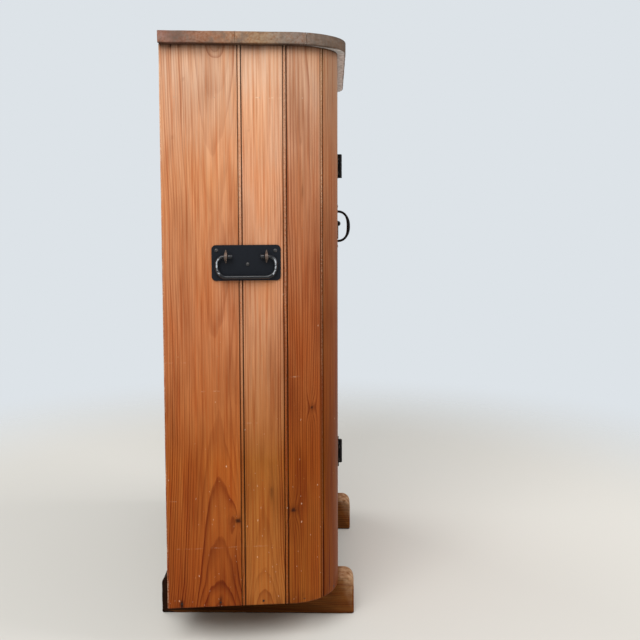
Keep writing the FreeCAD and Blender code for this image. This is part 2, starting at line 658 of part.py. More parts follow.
def build():
    """Make every piece and return them by name."""
    nodes = {}

    nodes["left_runner"] = runner()
    nodes["right_runner"] = mirrored(nodes["left_runner"])

    # Fastenings first, because the wood is drilled to take them
    side_nails = board_nails()
    plate_nails = handle_nails()
    eyes = handle_eyes()
    frame_screws = hinge_screws(-1)
    door_screws = hinge_screws(1) + pull_screws()
    pivot = button_screw()
    both_nails = side_nails + [mirrored(nail) for nail in side_nails]
    both_plate_nails = plate_nails + [mirrored(nail) for nail in plate_nails]

    # Side boards, laid from the back and square there
    for index in range(len(SIDE_MARKS) - 1):
        board = matched_board(side_strip, SIDE_MARKS[index], SIDE_MARKS[index + 1], BODY_BOTTOM,
                              BODY_HEIGHT, index > 0, True)
        board = without(board, side_nails + plate_nails + eyes)
        nodes["left_side_board_%d" % (index + 1)] = board
        nodes["right_side_board_%d" % (index + 1)] = mirrored(board)

    # Front frame, whose posts are tongued into the corner boards
    post = box(JOINT_GAP - POST_OUTER, -POST_INNER, FRONT, FRONT + POST_DEPTH, BODY_BOTTOM, BODY_TOP)
    post = join([post, tongue(side_strip, SIDE_LENGTH + JOINT_GAP, BODY_BOTTOM, BODY_HEIGHT)])
    nodes["left_front_post"] = without(post, frame_screws)
    nodes["right_front_post"] = without(mirrored(post), [pivot])
    nodes["front_top_rail"] = box(-POST_INNER, POST_INNER, FRONT, FRONT + RAIL_THICKNESS,
                                  BODY_TOP - TOP_RAIL_HEIGHT, BODY_TOP)
    nodes["front_bottom_rail"] = box(-POST_INNER, POST_INNER, FRONT, FRONT + RAIL_THICKNESS,
                                     BODY_BOTTOM, BODY_BOTTOM + BOTTOM_RAIL_HEIGHT)
    nodes["door_stop"] = box(POST_INNER - STOP_WIDTH, POST_INNER, FRONT + BOARD_THICKNESS + STOP_CLEARANCE,
                             FRONT + BOARD_THICKNESS + STOP_CLEARANCE + STOP_DEPTH, DOOR_BOTTOM, DOOR_TOP)

    # Back frame, open between its posts
    back_post = side_strip(0, BACK_POST_DEPTH, BOARD_THICKNESS, BACK_POST_FACE, FLOOR_TOP,
                           BODY_TOP - FLOOR_TOP)
    nodes["left_back_post"] = without(back_post, side_nails)
    nodes["right_back_post"] = mirrored(nodes["left_back_post"])
    rail = body_slab(BACK_POST_FACE, BODY_TOP - BACK_RAIL_HEIGHT, BACK_RAIL_HEIGHT)
    nodes["back_top_rail"] = rail.common(box(-HALF, HALF, BACK - BACK_RAIL_THICKNESS, BACK, 0, BODY_TOP))

    # Floor in two boards, fitted round the front frame
    floor = body_slab(INNER_FACE, BODY_BOTTOM, FLOOR_THICKNESS)
    floor = floor.cut([box(-POST_OUTER, POST_OUTER, FRONT, FRONT + RAIL_THICKNESS, 0, BODY_TOP),
                       box(-POST_OUTER, -POST_INNER, FRONT, FRONT + POST_DEPTH, 0, BODY_TOP),
                       box(POST_INNER, POST_OUTER, FRONT, FRONT + POST_DEPTH, 0, BODY_TOP)] + both_nails)
    joint = BACK - FLOOR_JOINT
    nodes["rear_floor_board"] = floor.common(box(-HALF, HALF, joint, BACK, 0, BODY_TOP))
    nodes["front_floor_board"] = floor.common(box(-HALF, HALF, FRONT, joint - JOINT_GAP, 0, BODY_TOP))

    # Sheet lining
    height = BODY_TOP - FLOOR_TOP - SHEET_THICKNESS
    sheet = side_strip(BACK_POST_DEPTH, SIDE_LENGTH, INNER_FACE, INNER_FACE + SHEET_THICKNESS,
                       FLOOR_TOP + SHEET_THICKNESS, height)
    nodes["left_lining"] = without(sheet, side_nails)
    nodes["right_lining"] = mirrored(nodes["left_lining"])
    floor_sheet = body_slab(INNER_FACE, FLOOR_TOP, SHEET_THICKNESS)
    front_strip = box(-POST_OUTER, POST_OUTER, FRONT, FRONT + POST_DEPTH, 0, BODY_TOP)
    nodes["floor_lining"] = floor_sheet.cut([front_strip, back_post, mirrored(back_post)])

    # Curved ribs that the side boards are nailed to, and the shelves on them
    ribs = []
    for level in RIB_LEVELS:
        rib = side_strip(BACK_POST_DEPTH, SIDE_LENGTH, RIB_FACE, RIB_FACE + RIB_WIDTH, level - RIB_HEIGHT / 2,
                         RIB_HEIGHT)
        ribs.append(without(rib, side_nails))
    nodes["left_ribs"] = ribs
    nodes["right_ribs"] = [mirrored(rib) for rib in ribs]
    for name, level in zip(("lower_shelf", "middle_shelf", "upper_shelf"), RIB_LEVELS):
        nodes[name] = shelf(level)

    # Top in three boards
    slab = body_slab(-TOP_OVERHANG, BODY_TOP, TOP_THICKNESS)
    reach = HALF + TOP_OVERHANG + 1
    rear, middle = BACK - TOP_JOINTS[0], BACK - TOP_JOINTS[1]
    high = BODY_TOP + TOP_THICKNESS
    nodes["rear_top_board"] = slab.common(box(-reach, reach, rear, BACK, BODY_TOP, high))
    nodes["middle_top_board"] = slab.common(box(-reach, reach, middle, rear - TOP_GAP, BODY_TOP, high))
    nodes["front_top_board"] = slab.common(box(-reach, reach, FRONT - TOP_OVERHANG, middle - TOP_GAP,
                                               BODY_TOP, high))

    # Door
    width = 2 * DOOR_HALF / DOOR_BOARDS
    for index in range(DOOR_BOARDS):
        board = matched_board(door_strip, index * width, (index + 1) * width, DOOR_BOTTOM,
                              DOOR_TOP - DOOR_BOTTOM, index > 0, index < DOOR_BOARDS - 1)
        nodes["door_board_%d" % (index + 1)] = without(board, door_screws)
    behind = FRONT + BOARD_THICKNESS
    margin = DOOR_SHEET_MARGIN
    nodes["door_lining"] = box(margin - DOOR_HALF, DOOR_HALF - margin, behind, behind + SHEET_THICKNESS,
                               DOOR_BOTTOM + margin, DOOR_TOP - margin)
    ledge_face = behind + SHEET_THICKNESS
    middle_level = (DOOR_BOTTOM + DOOR_TOP) / 2
    levels = (DOOR_BOTTOM + LEDGE_END_DISTANCE, middle_level, DOOR_TOP - LEDGE_END_DISTANCE)
    for name, level in zip(("lower_door_ledge", "middle_door_ledge", "upper_door_ledge"), levels):
        nodes[name] = box(-LEDGE_HALF, LEDGE_HALF, ledge_face, ledge_face + LEDGE_THICKNESS,
                          level - LEDGE_HEIGHT / 2, level + LEDGE_HEIGHT / 2)

    # Hinges
    for name, level in zip(("lower_hinge", "upper_hinge"), HINGE_LEVELS):
        nodes[name + "_frame_leaf"] = without(hinge_leaf(level, False), frame_screws)
        nodes[name + "_door_leaf"] = without(hinge_leaf(level, True), door_screws)
        nodes[name + "_pin"] = hinge_pin(level)
    nodes["frame_screws"] = frame_screws
    nodes["door_screws"] = door_screws

    nodes["pull_handle"] = without(pull_handle(), door_screws)
    nodes["turn_button"] = turn_button()
    nodes["turn_button_screw"] = pivot

    # Lifting handles
    nodes["left_handle_plate"] = without(handle_plate(), plate_nails + eyes)
    nodes["right_handle_plate"] = mirrored(nodes["left_handle_plate"])
    nodes["left_handle_eyes"] = eyes
    nodes["right_handle_eyes"] = [mirrored(eye) for eye in eyes]
    nodes["left_bail"] = bail()
    nodes["right_bail"] = mirrored(nodes["left_bail"])
    nodes["handle_nails"] = both_plate_nails
    nodes["board_nails"] = both_nails
    return nodes


def main():
    """Write one STEP file for each piece."""
    os.makedirs("parts", exist_ok=True)
    for name, shape in build().items():
        if isinstance(shape, list):
            shape = Part.makeCompound(shape)
        shape.exportStep("parts/%s.step" % name)


main()
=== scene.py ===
"""Pine warming cabinet on two runners: its dressed pieces, finishes and studio, in metres."""

import logging
import math
from dataclasses import dataclass
from enum import Enum
from typing import Optional, Sequence, Union

import bmesh
import bpy
import numpy as np
from mathutils import Matrix, Vector


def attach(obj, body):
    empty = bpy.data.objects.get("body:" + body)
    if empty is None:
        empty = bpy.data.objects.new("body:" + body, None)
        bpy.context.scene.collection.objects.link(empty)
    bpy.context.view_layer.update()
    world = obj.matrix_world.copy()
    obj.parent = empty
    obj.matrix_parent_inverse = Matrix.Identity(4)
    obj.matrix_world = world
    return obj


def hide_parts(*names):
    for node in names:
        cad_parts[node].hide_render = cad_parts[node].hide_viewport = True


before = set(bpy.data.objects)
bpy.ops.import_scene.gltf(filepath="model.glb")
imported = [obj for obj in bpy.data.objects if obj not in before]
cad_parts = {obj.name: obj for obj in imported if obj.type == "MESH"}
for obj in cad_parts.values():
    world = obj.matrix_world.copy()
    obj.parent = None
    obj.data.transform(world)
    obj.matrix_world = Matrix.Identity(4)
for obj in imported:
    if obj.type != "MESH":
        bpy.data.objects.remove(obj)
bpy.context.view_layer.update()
LOG = logging.getLogger("warming_cabinet")

Array = np.ndarray
Material = bpy.types.Material
Piece = bpy.types.Object
Socket = bpy.types.NodeSocket
Tree = bpy.types.NodeTree
Rgba = tuple[float, float, float, float]
Tones = tuple[tuple[float, str], ...]
Pair = tuple[Array, Array]

MM = 0.001

# Measures that several pieces share
RUNNER_HEIGHT = 87 * MM
BODY_TOP = 1267 * MM
SIDE_JOINTS = (157 * MM, 249.5 * MM, 333 * MM)
DOOR_FRONT = -185 * MM
DOOR_HALF = 227.95 * MM
HANDLE_STATION = 173 * MM
BAIL_LEVEL = 835.8 * MM

# Sockets of a colour mix, and the two ways of mixing
SHARE, UNDER, OVER = 0, 6, 7
COVER = {"data_type": "RGBA", "out": 2}
TINT = {"blend_type": "MULTIPLY", **COVER}


class Hand(Enum):
    """Side of the cabinet, as the sign of its X."""

    LEFT = -1
    RIGHT = 1

    def node(self, name: str) -> str:
        """Name of a node on this side."""
        return self.name.lower() + "_" + name


class Figure(Enum):
    """Where a wood finish takes its growth rings from."""

    FACE = "ring attribute of the board's own face"
    PITH = "distance from the heart of the log"


class Head(Enum):
    """Shape of a fastener's head."""

    FLAT = "flat cut nail"
    DOMED = "domed nail"
    SLOTTED = "slotted screw"


# Small helpers


def linear(code: str) -> Rgba:
    """Turn an sRGB hex colour into linear RGBA.

    Args:
        code: Colour such as "#C98A5F".

    Returns:
        Linear red, green, blue and an alpha of 1.
    """
    parts = []
    for start in (1, 3, 5):
        value = int(code[start:start + 2], 16) / 255
        parts.append(value / 12.92 if value <= 0.04045 else ((value + 0.055) / 1.055) ** 2.4)
    return (*parts, 1.0)


def add(tree: Tree, kind: str, inputs: Union[dict, list] = (), out: Union[int, str] = 0,
        **settings) -> Optional[Socket]:
    """Add a node with its settings, values and links.

    Args:
        tree: Node tree that gets the node.
        kind: Node type, where a shader node goes without its prefix.
        inputs: Values or feeding sockets, in the order of the inputs or by input name.
        out: Name or number of the output that is wanted.
        settings: Node properties, and stops for a colour ramp.

    Returns:
        That output, or nothing for a node that has none.
    """
    node = tree.nodes.new(kind if "Node" in kind else "ShaderNode" + kind)
    stops = settings.pop("stops", None)
    for name, value in settings.items():
        setattr(node, name, value)
    if stops:
        elements = node.color_ramp.elements
        elements.remove(elements[1])
        elements[0].position, elements[0].color = stops[0]
        for place, colour in stops[1:]:
            elements.new(place).color = colour
    for key, value in inputs.items() if isinstance(inputs, dict) else enumerate(inputs):
        if isinstance(value, Socket):
            tree.links.new(value, node.inputs[key])
        else:
            node.inputs[key].default_value = value
    return node.outputs[out] if node.outputs else None


def noise(u: Array, v: Union[Array, float], cell: tuple[float, float], seed: int) -> Array:
    """Smooth noise on a grid of cells.

    Args:
        u: First coordinate.
        v: Second coordinate.
        cell: Size of a cell along both, in millimetres.
        seed: Fixed seed of the table.

    Returns:
        Values between -1 and 1.
    """
    size = 61
    table = np.random.default_rng(seed).uniform(-1, 1, (size, size))
    u, v = u / (cell[0] * MM), v / (cell[1] * MM)
    i, j = np.floor(u).astype(int), np.floor(v).astype(int)
    f, g = u - i, v - j
    f, g = f * f * (3 - 2 * f), g * g * (3 - 2 * g)
    near = table[i % size, j % size] * (1 - f) + table[(i + 1) % size, j % size] * f
    far = table[i % size, (j + 1) % size] * (1 - f) + table[(i + 1) % size, (j + 1) % size] * f
    return near * (1 - g) + far * g


def share(distance: Array, length: float, least: float = 0.0) -> Array:
    """Distance as a share of a length, no less than a least value and no more than 1."""
    return np.clip(distance / length, least, 1)


def unit(vectors: Array) -> Array:
    """Vectors made one long."""
    return vectors / np.linalg.norm(vectors, axis=-1, keepdims=True)


def travelled(path: Array) -> Array:
    """Distance from the start of a path to each of its points."""
    return np.concatenate([[0], np.cumsum(np.linalg.norm(np.diff(path, axis=0), axis=1))])


def blended(tones: Tones, level: Array) -> Array:
    """Colours between tones.

    Args:
        tones: Rising levels, each with its colour.
        level: Level of each point.

    Returns:
        Linear RGBA for each point.
    """
    stops, codes = zip(*tones)
    colours = np.array([linear(code) for code in codes])
    return np.stack([np.interp(level, stops, channel) for channel in colours.T], axis=1)


def corner_arc(before: Array, here: Array, after: Array, radius: float, count: int) -> Array:
    """Arc that rounds a corner between two straight runs.

    Args:
        before: Point before the corner.
        here: The corner.
        after: Point after the corner.
        radius: Radius of the arc.
        count: Number of points.

    Returns:
        Points of the arc, in order.
    """
    back, onward = unit(before - here), unit(after - here)
    angle = math.acos(float(np.clip(back @ onward, -1, 1)))
    centre = here + unit(back + onward) * radius / math.sin(angle / 2)
    run = radius / math.tan(angle / 2)
    first, last = here + back * run - centre, here + onward * run - centre
    sweep = math.pi - angle
    turn = np.linspace(0, sweep, count)[:, None]
    return centre + (first * np.sin(sweep - turn) + last * np.sin(turn)) / math.sin(sweep)


def round_bar(path: Array, radii: Array, sides: int = 20) -> Array:
    """Sections of a round bar that is bent in one plane.

    Args:
        path: Middle line of the bar.
        radii: Radius at each point of the path.
        sides: Points round the bar.

    Returns:
        Array of sections, points and xyz.
    """
    normal = np.linalg.svd(path - path.mean(axis=0))[2][2]
    second = np.cross(unit(np.gradient(path, axis=0)), normal)
    turns = np.linspace(0, math.tau, sides, endpoint=False)[None, :, None]
    ring = np.cos(turns) * normal + np.sin(turns) * second[:, None, :]
    return path[:, None, :] + ring * radii[:, None, None]


def linked(name: str, data: bpy.types.ID) -> Piece:
    """Object of a mesh, lamp or camera, put in the scene.

    Args:
        name: Name of the object.
        data: Its mesh, lamp or camera.

    Returns:
        The new object.
    """
    item = bpy.data.objects.new(name, data)
    bpy.context.scene.collection.objects.link(item)
    return item


def shaded(mesh: bpy.types.Mesh) -> bpy.types.Mesh:
    """Shade a mesh smooth, apart from edges sharper than 40 degrees.

    Args:
        mesh: Mesh to shade.

    Returns:
        The same mesh.
    """
    mesh.polygons.foreach_set("use_smooth", [True] * len(mesh.polygons))
    mesh.set_sharp_from_angle(angle=math.radians(40))
    return mesh


def loft(name: str, *skins: Array) -> Piece:
    """Skin closed sections that follow each other, and close both ends.

    Args:
        name: Name of the new piece.
        skins: For each shell, an array of sections, points and xyz.

    Returns:
        The new object, with its faces pointing outwards.
    """
    points, faces = [], []
    for sections in skins:
        rows, count = sections.shape[:2]
        index = len(points) + np.arange(rows * count).reshape(rows, count)
        turned = np.roll(index, -1, axis=1)
        quads = np.stack([index[:-1], turned[:-1], turned[1:], index[1:]], axis=-1).reshape(-1, 4)
        faces += quads.tolist() + [index[0, ::-1].tolist(), index[-1].tolist()]
        points += sections.reshape(-1, 3).tolist()
    mesh = bpy.data.meshes.new(name)
    mesh.from_pydata(points, [], faces)
    shell = bmesh.new()
    shell.from_mesh(mesh)
    bmesh.ops.recalc_face_normals(shell, faces=shell.faces)
    shell.to_mesh(mesh)
    shell.free()
    return linked(name, shaded(mesh))


def baked(name: str, draft: Piece) -> Piece:
    """Keep the evaluated mesh of a draft as a new piece.

    Args:
        name: Name of the new piece.
        draft: Object with its modifiers, which is removed.

    Returns:
        The new object.
    """
    graph = bpy.context.evaluated_depsgraph_get()
    mesh = bpy.data.meshes.new_from_object(draft.evaluated_get(graph))
    draft.modifiers.clear()
    bpy.data.objects.remove(draft)
    return linked(name, mesh)


def softened(node: str, ease: float, segments: int = 2, edge_slot: int = 0) -> Piece:
    """Copy a CAD node, merge its loose triangles and ease its arrises.

    Args:
        node: CAD node.
        ease: Width of the eased arris.
        segments: Faces across the arris.
        edge_slot: Material slot of the arris.

    Returns:
        The new object.
    """
    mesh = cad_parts[node].data.copy()
    mesh.materials.clear()
    flat, sharp = math.radians(2), math.radians(35)
    shell = bmesh.new()
    shell.from_mesh(mesh)
    bmesh.ops.remove_doubles(shell, verts=shell.verts, dist=0.01 * MM)
    bmesh.ops.dissolve_limit(shell, angle_limit=flat, verts=shell.verts, edges=shell.edges)
    arrises = [edge for edge in shell.edges if edge.is_manifold and edge.calc_face_angle() > sharp]
    bmesh.ops.bevel(shell, geom=arrises, offset=ease, offset_type="OFFSET", segments=segments, profile=0.5,
                    affect="EDGES", clamp_overlap=True, material=edge_slot)
    bmesh.ops.recalc_face_normals(shell, faces=shell.faces)
    shell.to_mesh(mesh)
    shell.free()
    for layer in list(mesh.uv_layers):
        mesh.uv_layers.remove(layer)
    draft = linked(node + "_draft", shaded(mesh))
    draft.modifiers.new("flat faces", "WEIGHTED_NORMAL").keep_sharp = True
    return baked(node + "_finished", draft)


def points_of(piece: Piece) -> Array:
    """Points of a piece's mesh, one row each."""
    return np.array([vertex.co for vertex in piece.data.vertices])


def write_floats(piece: Piece, values: dict[str, Array]) -> None:
    """Store one float, vector or colour for each point.

    Args:
        piece: Object whose mesh takes the values.
        values: Attribute name to an array of one, three or four columns.
    """
    kinds = {1: ("FLOAT", "value"), 3: ("FLOAT_VECTOR", "vector"), 4: ("FLOAT_COLOR", "color")}
    for name, array in values.items():
        kind, slot = kinds[1 if array.ndim == 1 else array.shape[1]]
        layer = piece.data.attributes.new(name, kind, "POINT")
        layer.data.foreach_set(slot, np.ascontiguousarray(array, dtype=np.float32).ravel())


def write_grain(piece: Piece, across: Array, along: Array) -> None:
    """Store the grain map, in metres across and along the board.

    Args:
        piece: Object whose mesh takes the map.
        across: Distance across the grain for each point.
        along: Distance along the grain for each point.
    """
    corners = np.zeros(len(piece.data.loops), dtype=np.int32)
    piece.data.loops.foreach_get("vertex_index", corners)
    grain = np.stack([across[corners], along[corners]], axis=1).astype(np.float32)
    piece.data.uv_layers.new(name="grain").data.foreach_set("uv", grain.ravel())


def heartwood(piece: Piece, heart: Sequence[float], along: Sequence[float]) -> None:
    """Say where the heart of a piece's log lies, and which way it runs.

    Args:
        piece: Wooden piece.
        heart: A point on the heart.
        along: Direction of the grain.
    """
    rows = (len(piece.data.vertices), 1)
    write_floats(piece, {"heart": np.tile(heart, rows), "along": np.tile(along, rows)})


def settle(piece: Piece, body: str, node: str, slot: str, *finishes: Material) -> None:
    """Finish a piece and fix it to its body, in place of its CAD node.

    Args:
        piece: Piece, at the origin.
        body: Body that it moves with.
        node: CAD node that it stands for.
        slot: Material slot of the record; not used.
        finishes: Materials that it does not have yet.
    """
    for finish in finishes:
        piece.data.materials.append(finish)
    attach(piece, body)
    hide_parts(node)
    LOG.info("%s: %d faces on %s", piece.name, len(piece.data.polygons), body)


# Finishes


@dataclass(frozen=True)
class Finish:
    """Finish of a surface, as a node material.

    Attributes:
        name: Material name.
    """

    name: str

    def surface(self, tree: Tree) -> Socket:
        """Nodes of the finish, up to its shader."""
        raise NotImplementedError

    def build(self) -> Material:
        """Make the node material.

        Returns:
            The finished material.
        """
        material = bpy.data.materials.new(self.name)
        material.use_nodes = True
        material.node_tree.nodes.clear()
        add(material.node_tree, "OutputMaterial", {"Surface": self.surface(material.node_tree)})
        return material


@dataclass(frozen=True)
class Timber(Finish):
    """Softwood: pale earlywood and darker, harder latewood lines, with fibre streaks along the grain.

    Attributes:
        figure: Where its rings come from.
        early: Earlywood colour, used where the piece has no tone of its own.
        shade: Colour that the latewood is multiplied by.
        ring: Ring spacing in metres, for the pith figure.
        contrast: Strength of the latewood.
        pale: Colour of chips, scratches and worn arrises.
        dark: Colour of knots, dirt and scorching.
        grime: Share of the surface under grey-brown stain.
        grime_colour: Colour of that stain.
        rough: Roughness of the sound surface.
        wax: Weight of the wax coat.
        relief: Depth in metres of the grain in the surface.
        chip: Size in millimetres of the breaks in worn places.
        ragged: Softness of those breaks.
        toned: Whether a pith figure takes its earlywood colour from the piece.
    """

    figure: Figure
    early: str
    shade: str
    ring: float = 3.6 * MM
    contrast: float = 0.7
    pale: str = "#E9C7A6"
    dark: str = "#24100A"
    grime: float = 0.0
    grime_colour: str = "#6B5C51"
    rough: float = 0.44
    wax: float = 0.03
    relief: float = 0.25 * MM
    chip: float = 3.0
    ragged: float = 0.1
    toned: bool = False

    def surface(self, tree: Tree) -> Socket:
        """Nodes of the wood, up to its shader.

        Args:
            tree: Node tree of the material.

        Returns:
            Output of the shader.
        """
        place = add(tree, "TexCoord", out="Object")
        if self.figure is Figure.FACE:
            grain = add(tree, "UVMap", uv_map="grain")
            words = ("ring", "bold")
            rings, bold = (add(tree, "Attribute", out="Fac", attribute_name=word) for word in words)
        else:
            grain, rings = self.pith(tree, place)
            bold = 1.0
        base = linear(self.early)
        if self.toned or self.figure is Figure.FACE:
            base = add(tree, "Attribute", out="Color", attribute_name="tone")
        late = self.latewood(tree, grain, rings, bold)
        wood = add(tree, "Mix", {SHARE: late, UNDER: base, OVER: linear(self.shade)}, **TINT)

        # Fibre streaks 2 mm wide, coarser than real fibres so that they show, and 110 mm long
        fibre = self.stretched(tree, grain, 2.0, 110, Detail=4.0, Roughness=0.6)
        streak = add(tree, "MapRange", [fibre, 0.3, 0.7, 0.83, 1.13])

        wood = add(tree, "Mix", {SHARE: 1.0, UNDER: wood, OVER: streak}, **TINT)

        # Red-brown streaks 4.5 mm wide and 220 mm long, then warm and cool patches 60 mm across
        for across, along, tones in (
                (4.5, 220, ((0.36, "#FFFFFF"), (0.54, "#F6EBE2"), (0.7, "#E6C8B2"))),
                (60, 240, ((0.3, "#E6DAD2"), (0.5, "#FFFFFF"), (0.7, "#FFF3E4")))):
            cloud = self.stretched(tree, grain, across, along, Detail=2.0)
            hue = add(tree, "ValToRGB", {"Fac": cloud}, stops=[(end, linear(code)) for end, code in tones])
            wood = add(tree, "Mix", {SHARE: 1.0, UNDER: wood, OVER: hue}, **TINT)
        if self.grime > 0:
            wood = self.soil(tree, grain, place, wood)

        # Dark marks, then pale wear broken up by noise of the chip size, then specks
        dark, pale = (add(tree, "Attribute", out="Fac", attribute_name=word) for word in ("dark", "pale"))
        chip = add(tree, "TexNoise", {"Vector": place, "Scale": 1000 / self.chip, "Detail": 2.0})
        broken = add(tree, "MapRange", [chip, 0.48 - self.ragged, 0.48 + self.ragged])
        worn = add(tree, "Math", [pale, broken], operation="MULTIPLY")
        speck = self.specks(tree, grain, place)
        for mark, code in ((dark, self.dark), (worn, self.pale), (speck, self.pale)):
            wood = add(tree, "Mix", {SHARE: mark, UNDER: wood, OVER: linear(code)}, **COVER)

        gloss = add(tree, "MapRange", [fibre, 0.0, 1.0, self.rough - 0.1, self.rough + 0.14])
        dulled = add(tree, "Math", [worn, 0.25, gloss], operation="MULTIPLY_ADD")
        ridge = add(tree, "Math", [late, 0.6, fibre], operation="MULTIPLY_ADD")
        dent = add(tree, "Math", [speck, -1.5, ridge], operation="MULTIPLY_ADD")
        bump = add(tree, "Bump", {"Height": dent, "Distance": self.relief, "Strength": 0.6})
        return add(tree, "BsdfPrincipled", {"Base Color": wood, "Roughness": dulled, "Normal": bump,
                                            "Coat Weight": self.wax, "Coat Roughness": 0.2,
                                            "Specular IOR Level": 0.06})

    def stretched(self, tree: Tree, grain: Socket, across: float, along: float, **inputs: float) -> Socket:
        """Noise stretched along the grain.

        Args:
            tree: Node tree of the material.
            grain: Grain coordinates.
            across: Cell size across the grain, in millimetres.
            along: Cell size along it, where the grain has a map.
            inputs: Detail and roughness of the noise.

        Returns:
            Values from 0 to 1.
        """
        scale = (1000 / across,) * 3
        if self.figure is Figure.FACE:
            scale = (1000 / across, 1000 / along, 1.0)
        cells = add(tree, "Mapping", {"Vector": grain, "Scale": scale})
        return add(tree, "TexNoise", {"Vector": cells, "Scale": 1.0, **inputs})

    def latewood(self, tree: Tree, grain: Socket, rings: Socket, bold: Union[Socket, float]) -> Socket:
        """Draw the dark line that ends each ring.

        Args:
            tree: Node tree of the material.
            grain: Grain coordinates.
            rings: Ring count.
            bold: Factor on the contrast.

        Returns:
            Strength of the latewood, from 0 to 1.
        """
        # Rings waver by a fifth over 12 mm across and 160 mm along the grain
        waver = self.stretched(tree, grain, 12, 160, Detail=3.0)
        phase = add(tree, "Math", [waver, 0.4, rings], operation="MULTIPLY_ADD")
        band = add(tree, "Math", [phase], operation="FRACT")
        profile = ((0.0, 0.12), (0.4, 0.1), (0.72, 0.55), (0.9, 1.0), (0.97, 0.75), (1.0, 0.12))
        late = add(tree, "ValToRGB", {"Fac": band},
                   stops=[(end, (grey, grey, grey, 1.0)) for end, grey in profile])
        number = add(tree, "Math", [phase], operation="FLOOR")
        chance = add(tree, "TexWhiteNoise", {"W": number}, out="Value", noise_dimensions="1D")
        weight = add(tree, "MapRange", [chance, 0.0, 1.0, 0.3, 1.0])
        for factor in (weight, self.contrast):
            late = add(tree, "Math", [late, factor], operation="MULTIPLY")
        return add(tree, "Math", [late, bold], operation="MULTIPLY", use_clamp=True)

    def pith(self, tree: Tree, place: Socket) -> tuple[Socket, Socket]:
        """Work out rings from the distance to the heart of the log.

        Args:
            tree: Node tree of the material.
            place: Object coordinates.

        Returns:
            Grain coordinates squeezed along the log, and the ring count.
        """
        words = ("heart", "along")
        heart, along = (add(tree, "Attribute", out="Vector", attribute_name=word) for word in words)
        arm = add(tree, "VectorMath", [place, heart], operation="SUBTRACT")
        length = add(tree, "VectorMath", [arm, along], out="Value", operation="DOT_PRODUCT")
        axial = add(tree, "VectorMath", {0: along, "Scale": length}, operation="SCALE")
        radial = add(tree, "VectorMath", [arm, axial], operation="SUBTRACT")

        # The log bends by up to 9 rings, over cells of 200 mm
        bend = add(tree, "TexNoise", {"Vector": arm, "Scale": 5.0, "Detail": 1.0})
        reach = add(tree, "VectorMath", [radial], out="Value", operation="LENGTH")
        count = add(tree, "Math", [reach, 1 / self.ring], operation="MULTIPLY")
        rings = add(tree, "Math", [bend, 9.0, count], operation="MULTIPLY_ADD")
        squeeze = (0.04, 0.04, 0.04)
        grain = add(tree, "VectorMath", [axial, squeeze, radial], operation="MULTIPLY_ADD")
        return grain, rings

    def soil(self, tree: Tree, grain: Socket, place: Socket, wood: Socket) -> Socket:
        """Lay grey-brown stain over bare wood in blots 25 mm across, with 2 mm grain.

        Args:
            tree: Node tree of the material.
            grain: Grain coordinates.
            place: Object coordinates.
            wood: Colour of the clean wood.

        Returns:
            Colour of the stained wood.
        """
        blot = add(tree, "TexNoise", {"Vector": place, "Scale": 40.0, "Detail": 6.0, "Roughness": 0.65})
        fine = add(tree, "TexNoise", {"Vector": grain, "Scale": 500.0, "Detail": 3.0})
        both = add(tree, "Math", [fine, 0.5, blot], operation="MULTIPLY_ADD")
        stain = add(tree, "MapRange", [both, 0.95 - 0.45 * self.grime, 1.15 - 0.35 * self.grime, 0.0, 0.85])
        return add(tree, "Mix", {SHARE: stain, UNDER: wood, OVER: linear(self.grime_colour)}, **COVER)

    def specks(self, tree: Tree, grain: Socket, place: Socket) -> Socket:
        """Scatter pale ragged specks, up to 2 mm across and 4 mm long, where the piece has been knocked.

        Args:
            tree: Node tree of the material.
            grain: Grain coordinates.
            place: Object coordinates.

        Returns:
            Strength of the specks, from 0 to 1.
        """
        mapped = self.figure is Figure.FACE
        knocked = add(tree, "Attribute", out="Fac", attribute_name="specks")
        warp = add(tree, "TexNoise", {"Vector": place, "Scale": 400.0, "Detail": 1.0}, out="Color")
        ragged = add(tree, "VectorMath", [warp, (4 * MM,) * 3, grain if mapped else place],
                     operation="MULTIPLY_ADD")
        speck = 0.0
        for scale, turn, portion in ((75.0, 0.5, 1.0), (140.0, -0.7, 0.5)):
            slant = add(tree, "Mapping", {"Vector": ragged, "Rotation": (0.0, 0.0, turn),
                                          "Scale": (1.6, 0.75, 1.0)})
            reach = add(tree, "TexVoronoi", {"Vector": slant, "Scale": scale, "Randomness": 1.0},
                        voronoi_dimensions="2D" if mapped else "3D")
            luck = add(tree, "SeparateColor", [reach.node.outputs["Color"]]).node.outputs
            dot = add(tree, "MapRange", [reach, 0.04, 0.14, 0.75, 0.0])
            limit = add(tree, "Math", [knocked, portion], operation="MULTIPLY")
            rare = add(tree, "Math", [luck[0], limit], operation="LESS_THAN")
            for factor in (luck[1], rare):
                dot = add(tree, "Math", [dot, factor], operation="MULTIPLY")
            speck = add(tree, "Math", [dot, speck], operation="MAXIMUM")
        return speck


